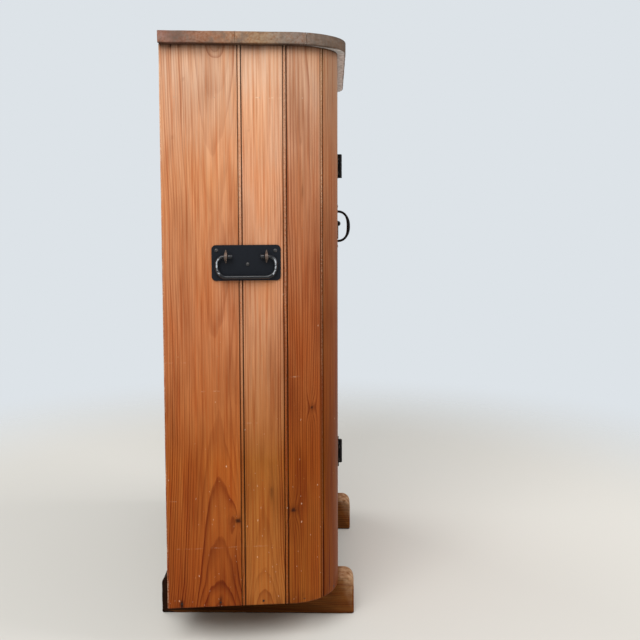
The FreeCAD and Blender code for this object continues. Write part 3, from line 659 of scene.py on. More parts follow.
@dataclass(frozen=True)
class Iron(Finish):
    """Wrought or cast iron under old paint: dark, half dull, with chips and rubbed edges of bare brown.

    Attributes:
        paint: Colour of the sound skin.
        bare: Colour where the skin is gone.
        bright: Colour of rubbed metal, which on the bail is also a painted highlight.
        chips: Share of the skin that is gone.
        rough: Roughness of the skin.
        metal: Metallic value of the skin.
        shine: Specular level of the skin.
    """

    paint: str
    bare: str
    bright: str
    chips: float = 0.15
    rough: float = 0.42
    metal: float = 0.0
    shine: float = 0.3

    def surface(self, tree: Tree) -> Socket:
        """Nodes of the iron, up to its shader.

        Args:
            tree: Node tree of the material.

        Returns:
            Output of the shader.
        """
        place = add(tree, "TexCoord", out="Object")

        # Hammered skin with 4 mm flats, and chips 2 to 6 mm across
        flats = add(tree, "TexNoise", {"Vector": place, "Scale": 250.0, "Detail": 3.0})
        chip = add(tree, "TexNoise", {"Vector": place, "Scale": 220.0, "Detail": 5.0, "Roughness": 0.7})
        rub = add(tree, "Attribute", out="Fac", attribute_name="rub")
        lost = add(tree, "Math", [rub, 0.22, chip], operation="MULTIPLY_ADD")
        gone = add(tree, "MapRange", [lost, 0.72 - 0.3 * self.chips, 0.78 - 0.3 * self.chips])
        flecks = add(tree, "MapRange", [flats, 0.0, 1.0, 0.7, 1.3])
        skin = add(tree, "Mix", {SHARE: 1.0, UNDER: linear(self.paint), OVER: flecks}, **TINT)
        # Rubbed bright metal, which on the bail is partly a painted highlight
        polish_and_glint = add(tree, "MapRange", [lost, 0.66, 0.8])
        rubbed = add(tree, "Math", [polish_and_glint, rub], operation="MULTIPLY")
        for mark, code in ((gone, self.bare), (rubbed, self.bright)):
            skin = add(tree, "Mix", {SHARE: mark, UNDER: skin, OVER: linear(code)}, **COVER)
        gloss = add(tree, "MapRange", [chip, 0.0, 1.0, self.rough - 0.12, self.rough + 0.16])
        height = add(tree, "Math", [gone, -0.5, flats], operation="MULTIPLY_ADD")
        bump = add(tree, "Bump", {"Height": height, "Distance": 0.3 * MM, "Strength": 0.5})
        return add(tree, "BsdfPrincipled", {"Base Color": skin, "Roughness": gloss, "Normal": bump,
                                            "Metallic": self.metal, "Specular IOR Level": self.shine})


@dataclass(frozen=True)
class Tinplate(Finish):
    """Rolled tin sheet, dulled by heat: grey, softly shiny, with brown rust blooms and faint dents.

    Attributes:
        sheet: Colour of the sheet.
        bloom: Colour of rust.
    """

    sheet: str = "#9A968E"
    bloom: str = "#6A4A33"

    def surface(self, tree: Tree) -> Socket:
        """Nodes of the tin, up to its shader.

        Args:
            tree: Node tree of the material.

        Returns:
            Output of the shader.
        """
        place = add(tree, "TexCoord", out="Object")

        # Clouds 80 mm across, rust blooms 30 mm across and dents 60 mm across
        cloud = add(tree, "TexNoise", {"Vector": place, "Scale": 12.0, "Detail": 5.0})
        rust = add(tree, "TexNoise", {"Vector": place, "Scale": 33.0, "Detail": 7.0, "Roughness": 0.7})
        dents = add(tree, "TexNoise", {"Vector": place, "Scale": 16.0, "Detail": 1.0})
        tint = add(tree, "MapRange", [cloud, 0.0, 1.0, 0.72, 1.16])
        skin = add(tree, "Mix", {SHARE: 1.0, UNDER: linear(self.sheet), OVER: tint}, **TINT)
        bloom = add(tree, "MapRange", [rust, 0.58, 0.84, 0.0, 0.7])
        skin = add(tree, "Mix", {SHARE: bloom, UNDER: skin, OVER: linear(self.bloom)}, **COVER)
        gloss = add(tree, "MapRange", [rust, 0.3, 0.7, 0.34, 0.66])
        bump = add(tree, "Bump", {"Height": dents, "Distance": 1.2 * MM, "Strength": 0.5})
        return add(tree, "BsdfPrincipled", {"Base Color": skin, "Roughness": gloss, "Metallic": 0.85,
                                            "Normal": bump})


@dataclass(frozen=True)
class Stopping(Finish):
    """Waxed filler over a sunk nail: nearly the colour of the board, a little darker and duller."""

    def surface(self, tree: Tree) -> Socket:
        """Nodes of the filler, up to its shader.

        Args:
            tree: Node tree of the material.

        Returns:
            Output of the shader.
        """
        place = add(tree, "TexCoord", out="Object")
        tone = add(tree, "Attribute", out="Color", attribute_name="tone")

        # Crumbs 1 mm across
        crumb = add(tree, "TexNoise", {"Vector": place, "Scale": 1000.0, "Detail": 2.0})
        shade = add(tree, "MapRange", [crumb, 0.0, 1.0, 0.6, 0.96])
        colour = add(tree, "Mix", {SHARE: 1.0, UNDER: tone, OVER: shade}, **TINT)
        return add(tree, "BsdfPrincipled", {"Base Color": colour, "Roughness": 0.6,
                                            "Specular IOR Level": 0.15})


@dataclass(frozen=True)
class FloorPaint(Finish):
    """Dull pale floor paint, which fades out away from the cabinet.

    Attributes:
        colour: Colour of the paint.
        near: Distance in metres where it starts to fade.
        far: Distance where it is gone.
    """

    colour: str = "#CDCAC3"
    near: float = 1.1
    far: float = 2.3

    def surface(self, tree: Tree) -> Socket:
        """Nodes of the floor, up to its shader.

        Args:
            tree: Node tree of the material.

        Returns:
            Output of the shader.
        """
        place = add(tree, "TexCoord", out="Object")
        reach = add(tree, "VectorMath", [place], out="Value", operation="LENGTH")
        fade = add(tree, "MapRange", [reach, self.near, self.far], interpolation_type="SMOOTHSTEP")
        solid = add(tree, "BsdfPrincipled", {"Base Color": linear(self.colour), "Roughness": 0.8,
                                             "Specular IOR Level": 0.2})
        clear = add(tree, "BsdfTransparent")
        return add(tree, "MixShader", [fade, solid, clear])


class Finishes:
    """All finishes of the cabinet, made once."""

    def __init__(self) -> None:
        """Make the materials."""
        self.board = Timber("waxed pine, matched boards", Figure.FACE, "#C98A5F", "#A06238",
                            contrast=1.0).build()
        self.member = Timber("waxed pine, frame", Figure.PITH, "#B87848", "#A06638").build()
        self.inside = Timber("bare old pine", Figure.PITH, "#A98A66", "#94744E", rough=0.62, wax=0.0,
                             grime=0.25).build()
        self.top = Timber("weathered pine top", Figure.PITH, "#A08270", "#857062", ring=2.6 * MM,
                          contrast=0.8, pale="#E2E0DC", grime=0.6, grime_colour="#675C52", rough=0.62,
                          wax=0.0, relief=0.5 * MM, chip=9.0, ragged=0.45, toned=True).build()
        self.runner = Timber("rough runner wood", Figure.PITH, "#7C4C22", "#7C5430", ring=4.0 * MM,
                             contrast=0.8, pale="#C6A582", dark="#0E0503", grime=0.2,
                             grime_colour="#4E3218", rough=0.66, wax=0.0, relief=0.6 * MM, chip=10.0,
                             ragged=0.35).build()
        # The plate's black is tinted blue, partly as a painted reflection of cool light
        self.plate = Iron("black painted iron plate", "#10141B", "#4A3A30", "#8A9098", chips=0.1,
                          shine=0.22).build()
        self.edge = Iron("chipped edge of black iron", "#1F2022", "#5A4638", "#A8A8A8", chips=0.45).build()
        self.bail = Iron("rubbed black iron bar", "#15171B", "#2A2420", "#BCC0C4", chips=0.05, metal=0.2,
                         rough=0.3, shine=0.5).build()
        self.rusty = Iron("rusty iron", "#5A4A40", "#8A7464", "#B5AAA0", chips=0.5, rough=0.5, metal=0.3,
                          shine=0.5).build()
        self.hinge = Iron("black iron hinge", "#0E0A08", "#30261E", "#8A8580", chips=0.12,
                          shine=0.16).build()
        self.nail = Iron("old cut nail", "#140D0A", "#3A2A20", "#8A8078", chips=0.4, rough=0.5).build()
        self.rivet = Iron("dark plate nail", "#2C2B2C", "#6E6058", "#A8A8A8", chips=0.5, rough=0.45,
                          shine=0.5).build()
        self.stopped = Stopping("stopped nail hole").build()
        self.screw = Iron("worn steel screw", "#4A4642", "#5A4838", "#9A9A98", chips=0.3, rough=0.4,
                          metal=0.8).build()
        self.slat = Iron("heat-dulled shelf iron", "#3A3733", "#6A4C38", "#7A7874", chips=0.3, rough=0.5,
                         metal=0.6).build()
        self.tin = Tinplate("aged tinplate").build()


@dataclass
class SubAssembly:
    """Pieces that are made together.

    Attributes:
        finishes: Materials of the cabinet.
    """

    finishes: Finishes

    def build(self) -> None:
        """Make the pieces."""
        raise NotImplementedError


# Plan lines and boards


@dataclass(frozen=True)
class SideLine:
    """Plan of one side: straight from the back, then round the front corner.

    Stations run along the outer face from the back, depths run inwards.
    """

    hand: Hand
    half: float = 420 * MM
    depth: float = 362 * MM
    toe: float = math.radians(5.5)
    radius: float = 107 * MM
    back: float = 177 * MM

    @property
    def straight(self) -> float:
        """Length of the flat part."""
        return (self.depth - self.radius * (1 - math.sin(self.toe))) / math.cos(self.toe)

    @property
    def length(self) -> float:
        """Whole length to the front post."""
        return self.straight + self.radius * (math.pi / 2 - self.toe)

    def place(self, station: Array, depth: Array) -> Pair:
        """Plan points.

        Args:
            station: Stations along the outer face.
            depth: Depths in from the outer face.

        Returns:
            X and Y of each point.
        """
        cosine, sine = math.cos(self.toe), math.sin(self.toe)
        corner = self.straight * sine + self.radius * cosine
        angle = self.toe + (station - self.straight) / self.radius
        bend = self.radius - depth
        flat = station <= self.straight
        across = np.where(flat, station * sine + depth * cosine, corner - bend * np.cos(angle))
        ahead = np.where(flat, station * cosine - depth * sine,
                         self.depth - self.radius + bend * np.sin(angle))
        across = np.where(station > self.length, corner + station - self.length, across)
        ahead = np.where(station > self.length, self.depth - depth, ahead)
        return self.hand.value * (self.half - across), self.back - ahead

    def inner_start(self, depth: float) -> float:
        """Station where a depth meets the square back."""
        return depth * math.tan(self.toe)


@dataclass(frozen=True)
class DoorLine:
    """Plan of the flat door, with stations from its hinge edge."""

    half: float = DOOR_HALF
    front: float = DOOR_FRONT

    def place(self, station: Array, depth: Array) -> Pair:
        """X and Y of points at stations and at depths in from the front face."""
        return station - self.half, self.front + depth

    def inner_start(self, depth: float) -> float:
        """Station where any depth begins, at the square hinge edge."""
        return 0.0


@dataclass(frozen=True)
class Knot:
    """Dark knot that the grain flows round, in millimetres."""

    station: float
    height: float
    radius: float


@dataclass(frozen=True)
class Stain:
    """Soft dark mark in millimetres, longer along the grain, or a pale one where its depth is below 0."""

    station: float
    height: float
    half_width: float
    half_height: float
    depth: float


@dataclass(frozen=True)
class Scratch:
    """Pale line across the grain, in millimetres."""

    start: float
    end: float
    height: float
    strength: float


@dataclass(frozen=True)
class Flame:
    """Flat-sawn flame, whose arches point both ways along the board.

    Attributes:
        station: Station of its middle.
        heights: Heights along the board.
        counts: Ring count in the middle at each of those heights.
        spread: Half width of the first ring at its apex.
        flank: Distance out where the flanks steepen.
        tight: Closest spacing of the rings.
        arches: Heights of the boldest arches, each with its gain.
        curl: Extra rings for each metre above the curl's foot.
        curl_foot: Height where the curl starts.
        curl_width: Half width of the curl.
    """

    station: float
    heights: tuple[float, ...]
    counts: tuple[float, ...]
    spread: float = 34 * MM
    flank: float = 50 * MM
    tight: float = 5 * MM
    arches: tuple[tuple[float, float], ...] = ()
    curl: float = 0.0
    curl_foot: float = 1238.5 * MM
    curl_width: float = 14 * MM

    def count(self, offset: Array, height: Array) -> Array:
        """Ring count round the middle of the flame.

        Args:
            offset: Distance across from the middle.
            height: Heights along the board.

        Returns:
            Rings from where the two arches meet.
        """
        fine = np.linspace(0.0, 1.4, 700)
        kernel = np.exp(-np.linspace(-2.5, 2.5, 15) ** 2)
        bow = np.pad(np.interp(fine, self.heights, self.counts), len(kernel) // 2, mode="edge")
        bow = np.convolve(bow, kernel / kernel.sum(), mode="valid")
        reach = np.linspace(0.0, 0.2, 401)
        slope = np.minimum(2 * reach / self.spread ** 2 + 4 * reach ** 3 / self.flank ** 4, 1 / self.tight)
        side = np.cumsum(slope) * (reach[1] - reach[0])
        curl = self.curl * np.clip(height - self.curl_foot, 0, 1) * np.exp(-(offset / self.curl_width) ** 2)
        return np.interp(height, fine, bow) + np.interp(np.abs(offset), reach, side) - curl


@dataclass
class BoardFigure:
    """Grain, tones and marks of one board.

    Attributes:
        seed: Fixed seed of its unevenness.
        tones: Heights with their earlywood colours, darker towards the foot partly with wear and partly as
            painted light falling from above.
        spacing: Ring spacing, where it has no flame.
        lean: Slant of the grain.
        flame: Its flame, if it has one.
        knots: Its knots.
        stains: Its stains.
        scratches: Its scratches.
        knocked: Share of specks near the foot.
        lift: Factor on its tones.
    """

    seed: int
    tones: Tones
    spacing: float = 5.8 * MM
    lean: float = 0.0
    flame: Optional[Flame] = None
    knots: tuple[Knot, ...] = ()
    stains: tuple[Stain, ...] = ()
    scratches: tuple[Scratch, ...] = ()
    knocked: float = 0.1
    lift: float = 1.0

    def rings(self, station: Array, height: Array) -> Array:
        """Ring count over the face.

        Args:
            station: Stations across the board.
            height: Heights along it.

        Returns:
            Rings from the heart, with the grain flowing round the knots.
        """
        wobble = 0.9 * noise(station, height, (30, 220), self.seed)
        wobble = wobble + 0.35 * noise(station, height, (10, 70), self.seed + 1)
        if self.flame:
            sway = 4 * MM * noise(height, 0.5, (180, 1000), self.seed + 2)
            count = self.flame.count(station - self.flame.station - sway, height) + 0.22 * wobble
        else:
            drift = 16 * MM * noise(station, height, (35, 500), self.seed + 3)
            count = (station + drift + self.lean * (height - 0.6)) / self.spacing + 0.5 * wobble
        for knot in self.knots:
            across = (station / MM - knot.station) / (2.6 * knot.radius)
            along = (height / MM - knot.height) / (7.0 * knot.radius)
            aside = np.sign(across + 1e-9) * np.abs(across) ** 0.4
            count = count + 2.4 * aside * np.exp(-across ** 2 - along ** 2)
        above_zero = 40.0
        return count + above_zero

    def marks(self, station: Array, height: Array) -> tuple[Array, ...]:
        """Dark marks, pale marks, soft shade and paler sapwood over the face.

        Args:
            station: Stations across the board.
            height: Heights along it.

        Returns:
            Strength of each of the four, from 0 to 1.
        """
        dark, pale, shade, bleach = np.zeros((4, len(station)))
        across, up = station / MM, height / MM
        for knot in self.knots:
            ragged = 1 + 0.3 * noise(station, height, (3, 3), self.seed + 4)
            gap = np.hypot((across - knot.station) / 1.3, up - knot.height) / knot.radius * ragged
            dark = np.maximum(dark, np.clip((1.0 - gap) / 0.5, 0, 0.85))
            shade = np.maximum(shade, 0.7 * np.exp(-(gap / 2.2) ** 2))
        for stain in self.stains:
            gap = ((across - stain.station) / stain.half_width) ** 2
            gap = gap + ((up - stain.height) / stain.half_height) ** 2
            broken = np.clip(0.75 + 0.5 * noise(station, height, (4, 30), self.seed + 5), 0, 1)
            strength = stain.depth * np.exp(-gap) * broken
            shade = np.maximum(shade, strength)
            bleach = np.maximum(bleach, -strength)
            dark = np.maximum(dark, np.clip(2.4 * strength - 1.1, 0, 0.95))
        for number, scratch in enumerate(self.scratches):
            drift = 1.5 * noise(station, number, (30, 1000), self.seed + 6)
            line = np.clip(1.6 - np.abs(up - scratch.height - drift) / 0.9, 0, 1)
            inside = (across > scratch.start) & (across < scratch.end)
            patchy = np.clip(0.6 + noise(station, number, (8, 1000), self.seed + 7), 0, 1)
            pale = np.maximum(pale, scratch.strength * line * inside * patchy)
        return dark, pale, shade, bleach

    def tone(self, height: Array) -> Array:
        """Earlywood colour along the board, holding painted light from above, as linear RGBA for each height.
        """
        return blended(self.tones, height) * np.array([self.lift, self.lift, self.lift, 1.0])

    def bold(self, station: Array, height: Array) -> Array:
        """Strength of the latewood lines, which fade upwards and in the middle of a flame.

        Args:
            station: Stations across the board.
            height: Heights along it.

        Returns:
            Factor on the contrast of the finish.
        """
        strength = 1.15 - 0.5 * height + 0.4 * noise(station, height, (60, 300), self.seed + 8)
        if self.flame:
            offset = station - self.flame.station
            count = self.flame.count(offset, height)
            strength = strength - 0.45 * np.exp(-(offset / (36 * MM)) ** 2)
            for arch, gain in self.flame.arches:
                level = self.flame.count(np.zeros(1), np.array([arch]))[0]
                near = np.exp(-((height - arch) / (100 * MM)) ** 2)
                strength = strength + gain * near * np.exp(-((count - level) / 0.45) ** 2)
        return np.clip(strength, 0.2, 2.2)


@dataclass
class MatchedBoard:
    """Tongued, grooved and beaded board on a plan line."""

    name: str
    line: Union[SideLine, DoorLine]
    start: float
    end: float
    bottom: float
    top: float
    figure: BoardFigure
    tongued: bool
    grooved: bool
    thickness: float = 20 * MM
    gap: float = 1.3 * MM
    bead: float = 6 * MM
    bead_drop: float = 3.0 * MM
    quirk: float = 2.1 * MM
    quirk_depth: float = 3.8 * MM
    tongue: float = 7 * MM
    tongue_half: float = 3 * MM
    groove_half: float = 3.3 * MM
    slack: float = 0.3 * MM
    back_round: float = 1.6 * MM
    face_depth: float = 1.7 * MM
    step: float = 2.5 * MM
    rise: float = 4 * MM

    def profile(self) -> Array:
        """Cross-section from the back edge round to the tongue.

        Returns:
            Stations and depths of the closed outline.
        """
        middle = self.thickness / 2
        edge = self.start + self.gap if self.tongued else self.start
        points: list[tuple[float, float]] = []
        if self.tongued:
            for turn in np.linspace(-1, 1, 11):
                drop = self.bead_drop * (1 - math.sqrt(max(0.0, 1 - turn * turn)))
                points.append((edge + self.bead * (turn + 1) / 2, drop))
            inner = edge + self.bead
            rim = inner + self.quirk
            points += [(inner + self.slack, self.quirk_depth), (rim - self.slack, self.quirk_depth),
                       (rim, 0.9 * MM), (rim + 0.5 * MM, 0.2 * MM)]
            face = rim + 1.2 * MM
        else:
            for turn in np.linspace(math.pi / 2, 0, 5):
                points.append((edge + self.back_round * (1 - math.sin(turn)),
                               self.back_round * (1 - math.cos(turn))))
            face = edge + self.back_round + self.step
        far = self.end - 1.4 * MM
        count = max(2, int(round((far - face) / self.step)))
        points += [(station, 0.0) for station in np.linspace(face, far, count)]
        points += [(self.end - 0.5 * MM, 0.35 * MM), (self.end, 1.3 * MM)]
        if self.grooved:
            deep = self.end - self.tongue - self.slack
            points += [(self.end, middle - self.groove_half), (deep, middle - self.groove_half),
                       (deep, middle + self.groove_half), (self.end, middle + self.groove_half)]
        points.append((self.end, self.thickness))
        inner_edge = edge if self.tongued else self.start + self.line.inner_start(self.thickness)
        count = max(2, int(round((self.end - inner_edge) / (4 * self.step))))
        points += [(station, self.thickness) for station in np.linspace(self.end, inner_edge, count)[1:]]
        if self.tongued:
            points += [(edge, middle + self.tongue_half), (edge - self.tongue, middle + self.tongue_half),
                       (edge - self.tongue, middle - self.tongue_half), (edge, middle - self.tongue_half)]
        else:
            points.append((self.start + self.line.inner_start(3 * MM), 3 * MM))
        return np.array(points)

    def levels(self) -> Array:
        """Heights of the rows, closer at the foot and at each scratch.

        Returns:
            Rising heights.
        """
        count = int(round((self.top - self.bottom) / self.rise))
        rows = np.linspace(self.bottom, self.top, count).tolist()
        rows += [self.bottom + shift * MM for shift in (0.5, 1.2, 2.4)]
        for scratch in self.figure.scratches:
            rows += [(scratch.height + shift) * MM for shift in range(-3, 4)]
        return np.array(sorted(rows))

    def build(self) -> Piece:
        """Make the board with its uneven face, worn back arris and eased foot.

        Returns:
            The board, ready for its finish.
        """
        outline = self.profile()
        levels = self.levels()
        seed = self.figure.seed
        station = np.tile(outline[:, 0], (len(levels), 1))
        depth = np.tile(outline[:, 1], (len(levels), 1))
        height = np.repeat(levels[:, None], len(outline), axis=1)
        uneven = 0.18 * MM * noise(station, height, (30, 110), seed + 10)
        sunk = 0.2 * MM + uneven + 1.1 * MM * (1 - share(height - self.bottom, 2.4 * MM)) ** 2
        if not self.tongued:
            worn = 2.2 * MM * np.clip(noise(station, height, (20, 12), seed + 11) - 0.35, 0, 1)
            sunk = sunk + worn * (1 - share(station - self.start, 6 * MM))
        x, y = self.line.place(station, depth + (depth < self.face_depth) * sunk)
        piece = loft(self.name + "_finished", np.stack([x, y, height], axis=-1))
        self.dress(piece, station.ravel(), height.ravel(), depth.ravel())
        return piece

    def dress(self, piece: Piece, station: Array, height: Array, depth: Array) -> None:
        """Write the grain and the marks that the finish reads.

        Args:
            piece: Board.
            station: Station of each point.
            height: Height of each point.
            depth: Depth of each point in the plain cross-section.
        """
        seed = self.figure.seed
        face = depth < self.face_depth
        dark, pale, shade, bleach = self.figure.marks(station, height)

        # Dirt along the foot; soot and painted shadow of the overhang under the top, darkest in a 5 mm band
        foot = 1 - share(height - self.bottom, 30 * MM)
        under_top = 1 - share(self.top - height, 25 * MM)
        shade = np.maximum(shade, foot * (0.3 + 0.4 * noise(station, height, (8, 30), seed + 20)))
        soot = 0.45 + 0.25 * noise(station, height, (20, 20), seed + 21)
        dark = np.maximum(dark, under_top ** 2 * soot)
        # Painted shadow in the 5 mm under the top
        dark = np.maximum(dark, 0.85 * (1 - share(self.top - height, 5 * MM)))

        # Beads are rubbed pale towards the top, partly wear and partly a painted highlight on their crowns;
        # quirks and faces deeper than 4 mm take painted shade; a back arris is chipped
        if self.tongued:
            bead = self.start + self.gap
            on_bead = (station > bead + 1 * MM) & (station < bead + self.bead - 1 * MM) & face
            rubbed = 0.25 + 0.16 * noise(station, height, (4, 90), seed + 23)
            pale = np.maximum(pale, on_bead * rubbed * share(height - 450 * MM, 500 * MM, 0.12))
            # Painted shade in the quirks and where the bead dips to them
            dark = np.maximum(dark, 0.85 * ((depth > 1.9 * MM) & (depth < 5 * MM)))
        else:
            arris = (1 - share(station - self.start, 3.5 * MM)) * face
            pale = np.maximum(pale, arris * (0.3 + 0.35 * noise(station, height, (10, 20), seed + 24)))
        in_joint = (station > self.end - 0.2 * MM) & (depth > 0.6 * MM) & (depth < 6 * MM)
        dark = np.maximum(dark, 0.7 * in_joint)
        # Painted shade on faces more than 4 mm deep, in the joints and on the inner face
        dark = np.maximum(dark, 0.3 * share(depth - 4 * MM, 2 * MM))

        # Shade and sapwood shift the tone, and a painted highlight lightens the last 20 mm of the front
        # corner
        tone = self.figure.tone(height)
        tone[:, :3] *= (1 + 0.07 * noise(station, height, (50, 200), seed + 22))[:, None]
        tone[:, :3] *= 1 - shade[:, None] * np.array([0.42, 0.5, 0.56])
        tone[:, :3] *= 1 + bleach[:, None] * np.array([0.38, 0.9, 1.6])
        # Painted highlight along the front edge of the round corner, stronger higher up
        if isinstance(self.line, SideLine):
            corner = share(station - self.line.length + 20 * MM, 16 * MM) * face
            painted_highlight = 0.4 * corner * share(height - 400 * MM, 600 * MM, 0.08)
            tone += painted_highlight[:, None] * (np.array(linear("#BFA080")) - tone)
        low = np.clip(1.1 - (height - RUNNER_HEIGHT) / (450 * MM), 0.02, 1)
        write_floats(piece, {"ring": self.figure.rings(station, height),
                             "bold": self.figure.bold(station, height),
                             "dark": np.clip(dark, 0, 1), "pale": np.clip(pale, 0, 1),
                             "specks": self.figure.knocked * low * (depth < 1.0 * MM), "tone": tone})
        write_grain(piece, station, height)


@dataclass
class SideBoards(SubAssembly):
    """Four matched boards of one side, from the back to the front post."""

    line: SideLine
    figures: tuple[BoardFigure, ...]
    bottom: float = RUNNER_HEIGHT
    top: float = BODY_TOP
    joints: tuple[float, ...] = SIDE_JOINTS

    def build(self) -> None:
        """Make the boards."""
        edges = (0.0,) + self.joints + (self.line.length,)
        for index, figure in enumerate(self.figures):
            node = self.line.hand.node("side_board_%d" % (index + 1))
            board = MatchedBoard(node, self.line, edges[index], edges[index + 1], self.bottom, self.top,
                                 figure, tongued=index > 0, grooved=True)
            settle(board.build(), "carcass", node, "pine", self.finishes.board)


@dataclass
class Door(SubAssembly):
    """Five matched boards of the door."""

    figures: tuple[BoardFigure, ...]
    line: DoorLine = DoorLine()
    bottom: float = 159 * MM
    top: float = 1201 * MM

    def build(self) -> None:
        """Make the boards."""
        count = len(self.figures)
        width = 2 * self.line.half / count
        for index, figure in enumerate(self.figures):
            node = "door_board_%d" % (index + 1)
            board = MatchedBoard(node, self.line, index * width, (index + 1) * width, self.bottom, self.top,
                                 figure, tongued=index > 0, grooved=index < count - 1)
            settle(board.build(), "door", node, "pine", self.finishes.board)


# Solid timbers


@dataclass
class Prism:
    """Timber cut to an outline, with eased and slightly uneven arrises.

    Attributes:
        name: Name of the node that it stands for.
        outline: Outline points in its own plane.
        low: Start of the extrusion.
        high: End of the extrusion.
        axes: Axes of the outline's two directions and of the extrusion.
        ease: Width of the eased arris.
        rough: Unevenness of the faces.
        seed: Seed of the unevenness.
        wear: Share of the wear at each outline point.
        step: Greatest distance between rows.
    """

    name: str
    outline: Array
    low: float
    high: float
    axes: tuple[int, int, int]
    ease: float
    rough: float
    seed: int
    wear: Union[Array, float] = 1.0
    step: float = 6 * MM

    def build(self) -> Piece:
        """Make the timber.

        Returns:
            The new object.
        """
        outline = self.outline
        before, after = np.roll(outline, 1, axis=0), np.roll(outline, -1, axis=0)
        tangent = unit(unit(after - outline) + unit(outline - before))
        area = np.sum(outline[:, 0] * after[:, 1] - after[:, 0] * outline[:, 1])
        inward = np.stack([-tangent[:, 1], tangent[:, 0]], axis=1) * np.sign(area)
        travel = travelled(outline)

        # Rows of the eased arris, then even ones, then the arris at the other end
        span = self.high - self.low
        turns = np.linspace(0, math.pi / 2, 4)
        arris = [(self.ease * (1 - math.cos(turn)), self.ease * (1 - math.sin(turn))) for turn in turns]
        even = np.linspace(self.ease, span - self.ease, max(3, int(span / self.step)))[1:-1]
        rows = arris + [(level, 0.0) for level in even]
        rows += [(span - level, inset) for level, inset in reversed(arris)]
        sections = np.zeros((len(rows), len(outline), 3))
        for section, (level, inset) in zip(sections, rows):
            bite = self.rough * (0.5 + 0.5 * noise(travel, level, (20, 20), self.seed))
            nick = 0.8 * np.clip(noise(travel, level, (30, 300), self.seed + 1), 0, 1)
            cut = self.wear * (inset * (1 + nick) + bite)
            section[:, self.axes[:2]] = outline + inward * cut[:, None]
            section[:, self.axes[2]] = self.low + level
        return loft(self.name + "_finished", sections)


@dataclass
class TopBoards(SubAssembly):
    """Top in three boards that run across the cabinet and hang over the sides and the front."""

    line: SideLine = SideLine(Hand.LEFT)
    overhang: float = 18 * MM
    bottom: float = BODY_TOP
    top: float = 1291 * MM
    front: float = -203 * MM
    joints: tuple[float, float] = (22 * MM, -122 * MM)
    gap: float = 0.6 * MM
    rear_inset: float = 1.5 * MM
    ease: float = 2.2 * MM
    rough: float = 0.5 * MM
    hearts: tuple[float, float, float] = (1235 * MM, 1360 * MM, 1225 * MM)
    tones: Tones = ((-0.17, "#908072"), (-0.11, "#96877E"), (-0.03, "#A08C75"), (0.05, "#AB856B"),
                    (0.13, "#926D5E"), (0.177, "#AB8579"))

    def edge(self, rear: float, fore: float) -> Array:
        """Left edge of a board.

        Args:
            rear: Y of its rear side.
            fore: Y of its front side.

        Returns:
            Edge points from the rear to the front.
        """
        hair = 0.001 * MM
        station = np.linspace(-10 * MM, self.line.length + 300 * MM, 1600)
        x, y = self.line.place(station, np.full_like(station, -self.overhang))
        keep = (y < rear - hair) & (y > fore + hair) & (x < 0)
        points = [[np.interp(-rear, -y, x), rear]] + np.stack([x[keep], y[keep]], axis=1)[::3].tolist()
        if fore > self.front + hair:
            side = station < self.line.length
            points.append([np.interp(-fore, -y[side], x[side]), fore])
        return np.array(points)

    def soil(self, board: Piece) -> None:
        """Darken the top arris and the front edge, paint shade on the underside, and leave the front of the
        underside pale and grey, partly bare wood and partly painted light from the floor.

        Args:
            board: Top board.
        """
        x, y, z = points_of(board).T
        under = z < self.bottom + 0.1 * MM
        fore = share(-y - 150 * MM, 20 * MM) * share(360 * MM - np.abs(x), 20 * MM)
        rim = share(z - self.top + 3 * MM, 3 * MM)
        slant = x + y * 5 / 3
        soot = 0.35 * rim + 0.3 * np.clip(noise(slant, z, (50, 20), 41), 0, 1)
        front = share(-y - 80 * MM, 100 * MM) * (z > self.bottom + 1 * MM)
        # The underside away from the front overhang takes painted shade
        dark = np.clip(soot + 0.6 * under * (1 - fore) + 0.36 * front, 0, 0.7)
        # The pale front of the underside is partly painted light bounced from the floor
        write_floats(board, {"pale": 1.7 * fore * under, "dark": dark, "tone": blended(self.tones, y)})

    def build(self) -> None:
        """Make the three boards."""
        rears = (self.line.back - self.rear_inset, self.joints[0] - self.gap, self.joints[1] - self.gap)
        fores = (*self.joints, self.front)
        for number, word in enumerate(("rear", "middle", "front")):
            node = word + "_top_board"
            rear, fore = rears[number], fores[number]
            left = self.edge(rear, fore)
            right = left[::-1] * np.array([-1.0, 1.0])
            front_side = np.linspace(left[-1], right[0], 120)[1:-1]
            back_side = np.linspace(right[-1], left[0], 120)[1:-1]
            outline = np.concatenate([left, front_side, right, back_side])

            # Boards are hardly worn where they meet
            from_joint = np.abs(outline[:, 1:] - np.array(self.joints)).min(axis=1)
            wear = np.where(from_joint < 1.5 * MM, 0.12, 1.0)
            board = Prism(node, outline, self.bottom, self.top, (0, 1, 2), self.ease, self.rough,
                          31 + number, wear).build()
            self.soil(board)
            heartwood(board, (0.0, (rear + fore) / 2 + 20 * MM, self.hearts[number]), (1.0, 0.02, 0.0))
            settle(board, "carcass", node, "weathered_top", self.finishes.top)


